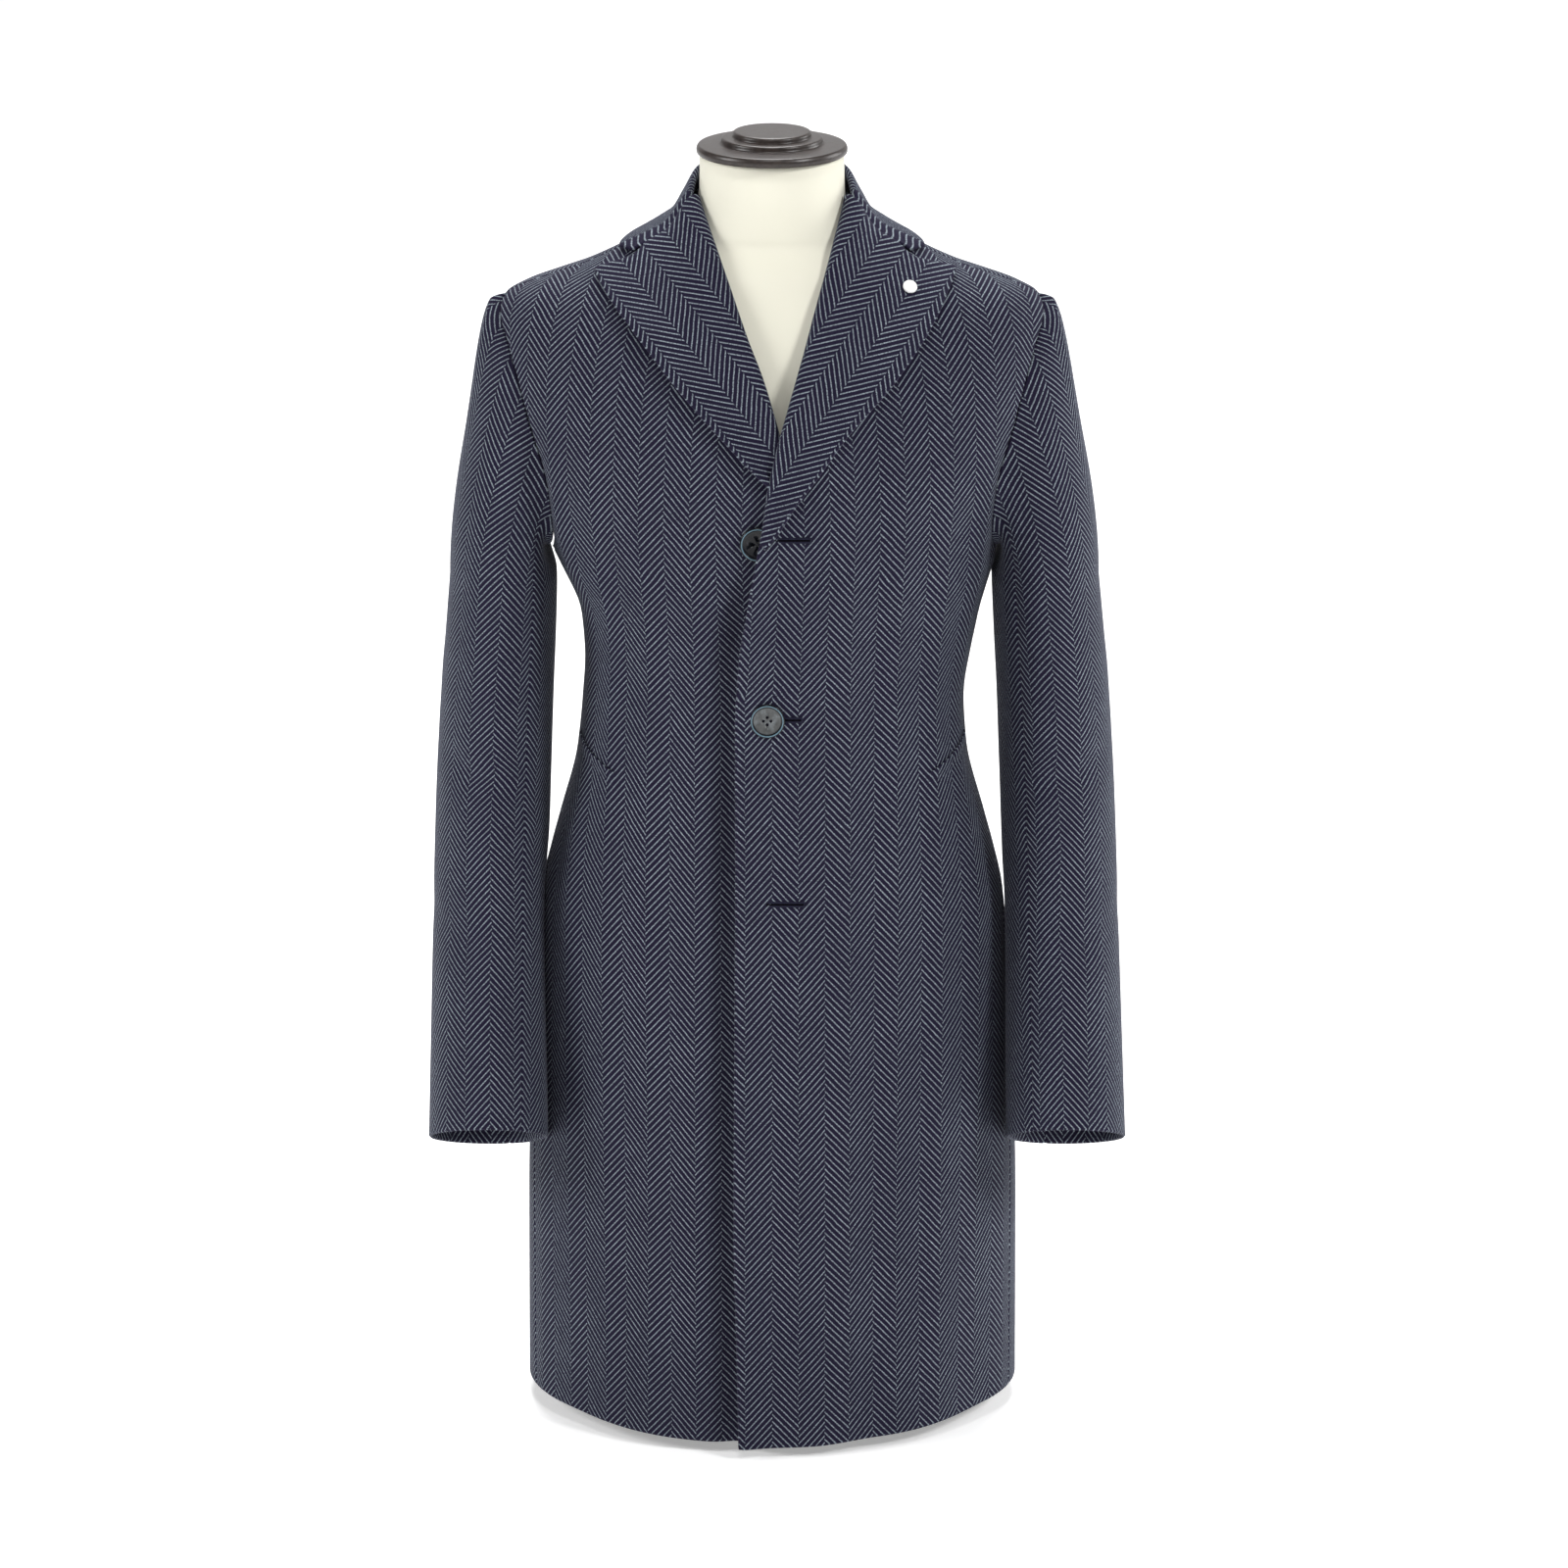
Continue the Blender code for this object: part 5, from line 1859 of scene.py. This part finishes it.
@dataclass
class DressForm:
    """Limbless torso with a neck, its turned cap, pole and base."""

    shape: CoatShape
    cover: bpy.types.Material
    lacquer: bpy.types.Material
    steel: bpy.types.Material
    bottom_z: float = 0.330
    shoulder_gap: float = 0.0030
    waist_gap: float = 0.0110
    tip_gap: float = 0.0060
    chest_z: float = 0.90
    slope_z: tuple[float, float] = (0.904, 0.946)
    waist_fade: float = 0.16
    tip_x: float = 0.165
    tip_fade: float = 0.04
    steps: int = 160
    # height, half width, front depth, back depth
    neck: Table = (
        (0.9600, 0.0900, 0.0465, 0.0620), (0.9700, 0.0715, 0.0460, 0.0580), (0.9840, 0.0605, 0.0470, 0.0535),
        (1.0000, 0.0572, 0.0490, 0.0515), (1.0283, 0.0565, 0.0500, 0.0510),
    )
    cap: Table = (
        (0.0, 1.0285), (0.0570, 1.0285), (0.0590, 1.0300), (0.0592, 1.0335), (0.0578, 1.0362),
        (0.0410, 1.0368), (0.0398, 1.0380), (0.0396, 1.0408), (0.0385, 1.0418), (0.0312, 1.0420),
        (0.0306, 1.0430), (0.0308, 1.0452), (0.0295, 1.0466), (0.0260, 1.0469), (0.0, 1.0469),
    )

    pole: Table = ((0.0, 0.0083), (0.0160, 0.0083), (0.0160, 0.3297), (0.0, 0.3297))
    base: Table = (
        (0.0, 0.0), (0.1084, 0.0), (0.1100, 0.0020), (0.1100, 0.0060), (0.1075, 0.0080), (0.0, 0.0080),
    )

    def build(self) -> None:
        """Make the form."""
        s = self.shape
        a = np.linspace(0.0, 360.0, self.steps, endpoint=False)
        rings = []
        low, high = self.slope_z
        for z in np.concatenate((np.linspace(self.bottom_z, self.chest_z, 60), np.linspace(low, high, 12))):
            zz = np.full(a.shape, z)
            p = s.point(a, zz)
            waist = (self.waist_gap - self.shoulder_gap) * ease((self.chest_z - z) / self.waist_fade)
            tip = self.tip_gap * ease((abs(p[:, 0]) - self.tip_x) / self.tip_fade)
            p = p - s.normal(a, zz) * (s.wall + self.shoulder_gap + np.maximum(waist, tip))[:, None]
            p[:, 2] = z if z < s.armpit_z else p[:, 2]
            rings.append(p)
        t = np.radians(a)
        for z, w, f, b in self.neck:
            deep = np.where(np.cos(t) > 0, f, b)
            rings.append(np.stack((w * np.sin(t), -deep * np.cos(t), np.full(t.shape, z)), axis=1))
        count = len(self.neck)
        torso, throat = np.stack(rings[:-count]), np.stack(rings[-count - 1:])
        grid = np.concatenate((torso, spline(throat, 40)[1:]))
        low, high = grid[:1].copy(), grid[-1:].copy()
        low[..., :2] = 0.0
        high[..., :2] = 0.0
        grid = np.concatenate((low, grid, high))
        dress(wrapped("form_torso_cover", grid, self.cover), "form_torso")
        dress(turned("form_cap_turned", rounded(self.cap, 0.0012), 128, self.lacquer), "form_cap")
        dress(turned("form_pole_tube", rounded(self.pole, 0.0008), 64, self.steel), "form_pole")
        dress(turned("form_base_disc", rounded(self.base, 0.0010), 128, self.steel), "form_base")


@dataclass(frozen=True)
class Finishes:
    """Finishes other than the coat's cloth."""

    cream: Colour = (0.800, 0.780, 0.660, 1.0)
    lacquer_colour: Colour = (0.022, 0.016, 0.014, 1.0)
    # near black: the edges and grooves of the buttons, and painted shade over the top button's face
    horn_dark_and_shade: Colour = (0.006, 0.007, 0.010, 1.0)
    horn_grey: Colour = (0.070, 0.073, 0.074, 1.0)
    horn_mid: Colour = (0.130, 0.142, 0.150, 1.0)
    # painted highlight along the top of each button's rim
    rim_highlight: Colour = (0.120, 0.205, 0.255, 1.0)
    # height above which a button's face gets painted shade, for the top button under the lapel
    painted_shade_above: float = 0.680
    thread_colour: Colour = (0.0075, 0.0075, 0.018, 1.0)

    def cover(self) -> bpy.types.Material:
        """Smooth cotton cover of the form.

        Returns:
            The material.
        """
        n = Nodes("form_cover")
        place = n.place()
        weave, patch = n.noise(place, 1800.0, 1.0), n.noise(place, 9.0)
        colour = n.mix(n.step(patch, 0.3, 0.7), self.cream, shade(self.cream, 0.96))
        n.bump(weave, 0.12, 0.0004)
        return n.finish(Base_Color=colour, Roughness=0.72, Sheen_Weight=0.12, Specular_IOR_Level=0.25)

    def lacquer(self) -> bpy.types.Material:
        """Dark satin lacquer of the neck cap.

        Returns:
            The material.
        """
        n = Nodes("cap_lacquer")
        place = n.place()
        streak = n.noise(place, 260.0)
        colour = n.mix(n.step(streak, 0.35, 0.7), self.lacquer_colour, shade(self.lacquer_colour, 1.7))
        n.bump(streak, 0.06, 0.0003)
        return n.finish(Base_Color=colour, Roughness=n.math("MULTIPLY_ADD", streak, 0.12, 0.30))

    def horn(self) -> bpy.types.Material:
        """Grey-blue polished horn, with painted shade over the top button's face and a painted highlight on
        each rim.

        Returns:
            The material.
        """
        n = Nodes("button_horn")
        place = n.place()
        v = n.split(n.add("ShaderNodeUVMap", uv_map="OFBake").outputs[0])[1]
        # painted shade: the face of a button above this height, the top one, is near black
        high = n.step(n.split(place)[2], self.painted_shade_above, self.painted_shade_above + 0.01)
        cloud, fine = n.noise(place, 170.0, 4.0), n.noise(place, 700.0)
        grey = n.mix(n.step(cloud, 0.40, 0.66), self.horn_grey, self.horn_mid)
        face = n.mix(high, grey, self.horn_dark_and_shade)
        # painted highlight on the top of the rim; below the face, the edge and the groove stay near black
        rim = n.math("MULTIPLY", n.step(v, 0.60, 0.64), n.step(v, 0.80, 0.76))
        body = n.mix(n.step(v, 0.86, 0.92), self.horn_dark_and_shade, face)
        n.bump(fine, 0.05, 0.0002)
        return n.finish(Base_Color=n.mix(rim, body, self.rim_highlight), Specular_IOR_Level=0.30, IOR=1.50,
                        Roughness=n.math("MULTIPLY_ADD", fine, 0.1, 0.20))

    def thread(self) -> bpy.types.Material:
        """Dark buttonhole thread.

        Returns:
            The material.
        """
        n = Nodes("dark_thread")
        place = n.place()
        twist = n.noise(place, 3000.0)
        colour = n.mix(twist, self.thread_colour, shade(self.thread_colour, 2.2))
        n.bump(twist, 0.2, 0.0003)
        return n.finish(Base_Color=colour, Roughness=0.70, Specular_IOR_Level=0.15)

    def slit(self) -> bpy.types.Material:
        """Near-black painted shade for the depth of a cut in the cloth.

        Returns:
            The material.
        """
        n = Nodes("slit_shade")
        place = n.place()
        colour = n.mix(n.noise(place, 900.0), (0.0016, 0.0014, 0.0024, 1.0), (0.0030, 0.0028, 0.0046, 1.0))
        return n.finish(Base_Color=colour, Roughness=0.95, Specular_IOR_Level=0.03)

    def white(self) -> bpy.types.Material:
        """White enamel of the lapel button.

        Returns:
            The material.
        """
        n = Nodes("white_enamel")
        place = n.place()
        cloud = n.noise(place, 400.0)
        colour = n.mix(cloud, (0.86, 0.86, 0.85, 1.0), (0.80, 0.80, 0.80, 1.0))
        n.bump(cloud, 0.04, 0.0002)
        return n.finish(Base_Color=colour, Roughness=0.28)

    def steel(self) -> bpy.types.Material:
        """Brushed steel of the stand.

        Returns:
            The material.
        """
        n = Nodes("stand_steel")
        place = n.place()
        brush = n.noise(place, 500.0)
        n.bump(brush, 0.08, 0.0002)
        colour = n.mix(brush, (0.42, 0.42, 0.43, 1.0), (0.34, 0.34, 0.35, 1.0))
        return n.finish(Base_Color=colour, Metallic=1.0, Roughness=0.36)


@dataclass(frozen=True)
class Lamp:
    """Soft box: where it stands, its size and power."""

    name: str
    place: tuple[float, float, float]
    size: float
    power: float


@dataclass
class Studio:
    """Pale floor and sweep, soft light and the camera."""

    aim: tuple[float, float, float] = (0.0, 0.0, 0.60)
    eye: tuple[float, float, float] = (0.0094, -6.5, 2.43)
    pitch: float = 16.42
    focal_pixels: float = 8654.0
    picture: float = 1600.0
    sensor: float = 36.0
    sky: float = 0.06
    floor_glow: float = 0.35
    sweep_radius: float = 2.5
    sweep_near: float = -10.0
    sweep_far: float = 7.8
    sweep_high: float = 9.0
    sweep_half: float = 11.0
    lamps: tuple[Lamp, ...] = (
        Lamp("key_box", (2.7, -2.1, 2.9), 0.9, 82.0),
        Lamp("front_box", (-0.1, -2.5, 4.6), 1.0, 52.0),
        Lamp("left_strip", (-2.6, -0.9, 1.9), 1.2, 49.0),
        Lamp("right_strip", (2.4, 0.8, 1.4), 1.4, 30.0),
        Lamp("sweep_box", (0.0, 2.8, 6.0), 3.5, 420.0),
    )

    def floor(self) -> None:
        """Lay the floor and its sweep."""
        n = Nodes("pale_floor")
        place = n.place()
        grain = n.noise(place, 30.0)
        colour = n.mix(grain, (0.90, 0.90, 0.90, 1.0), (0.88, 0.88, 0.885, 1.0))
        finish = n.finish(Base_Color=colour, Roughness=0.8, Emission_Color=(1.0, 1.0, 1.0, 1.0),
                          Emission_Strength=self.floor_glow)
        r, far = self.sweep_radius, self.sweep_far
        bend = [(far + r * math.sin(b), r * (1 - math.cos(b))) for b in np.linspace(0.0, math.pi / 2, 24)]
        line = [(self.sweep_near, 0.0)] + bend + [(far + r, self.sweep_high)]
        left = np.array([(-self.sweep_half, y, z) for y, z in line])
        right = left * np.array((-1.0, 1.0, 1.0))
        count = len(line)
        k = np.arange(count - 1)
        faces = np.stack((k, k + count, k + count + 1, k + 1), axis=1)
        show("studio_sweep", np.concatenate((left, right)), faces, {}, finish)

    def light(self) -> None:
        """Set the soft boxes and the sky."""
        world = bpy.data.worlds.new("studio_sky")
        bpy.context.scene.world = world
        world.use_nodes = True
        sky = world.node_tree.nodes["Background"]
        sky.inputs[0].default_value = (1.0, 1.0, 1.0, 1.0)
        sky.inputs[1].default_value = self.sky
        for lamp in self.lamps:
            data = bpy.data.lights.new(lamp.name, "AREA")
            data.shape, data.size = "DISK", lamp.size
            data.energy = lamp.power
            obj = in_scene(lamp.name, data)
            obj.location = lamp.place
            way = np.array(self.aim) - np.array(lamp.place)
            flat = math.hypot(way[0], way[1])
            obj.rotation_euler = (math.pi / 2 - math.atan2(-way[2], flat), 0.0, math.atan2(-way[0], way[1]))

    def camera(self) -> None:
        """Stand the camera where the photograph was taken from."""
        data = bpy.data.cameras.new("camera")
        data.sensor_width = self.sensor
        data.lens = self.focal_pixels / self.picture * self.sensor
        data.clip_end = 60.0
        obj = in_scene("camera", data)
        obj.location = self.eye
        obj.rotation_euler = (math.radians(90.0 - self.pitch), 0.0, 0.0)
        bpy.context.scene.camera = obj

    def build(self) -> None:
        """Make the studio."""
        self.floor()
        self.light()
        self.camera()
        bpy.context.scene.view_settings.view_transform = "Standard"


def main() -> None:
    """Build every piece in order."""
    shape, looks = CoatShape(), Finishes()
    cloth, thread = Herringbone().build(), looks.thread()
    DressForm(shape, looks.cover(), looks.lacquer(), looks.steel()).build()
    panels = BodyPanels(shape, cloth)
    panels.back()
    for side in Side:
        panels.front(side)
    Sleeves(shape, cloth).build()
    collar = Collar(shape, cloth)
    lapels = Lapels(shape, cloth, collar.front_end())
    welts = PocketWelts(shape, cloth)
    for side in Side:
        lapels.build(side)
        welts.build(side)
    collar.build()
    Buttons(shape, looks.horn(), thread, looks.white()).build()
    Buttonholes(shape, thread, looks.slit()).build()
    Studio().build()


if __name__ == "__main__":
    main()
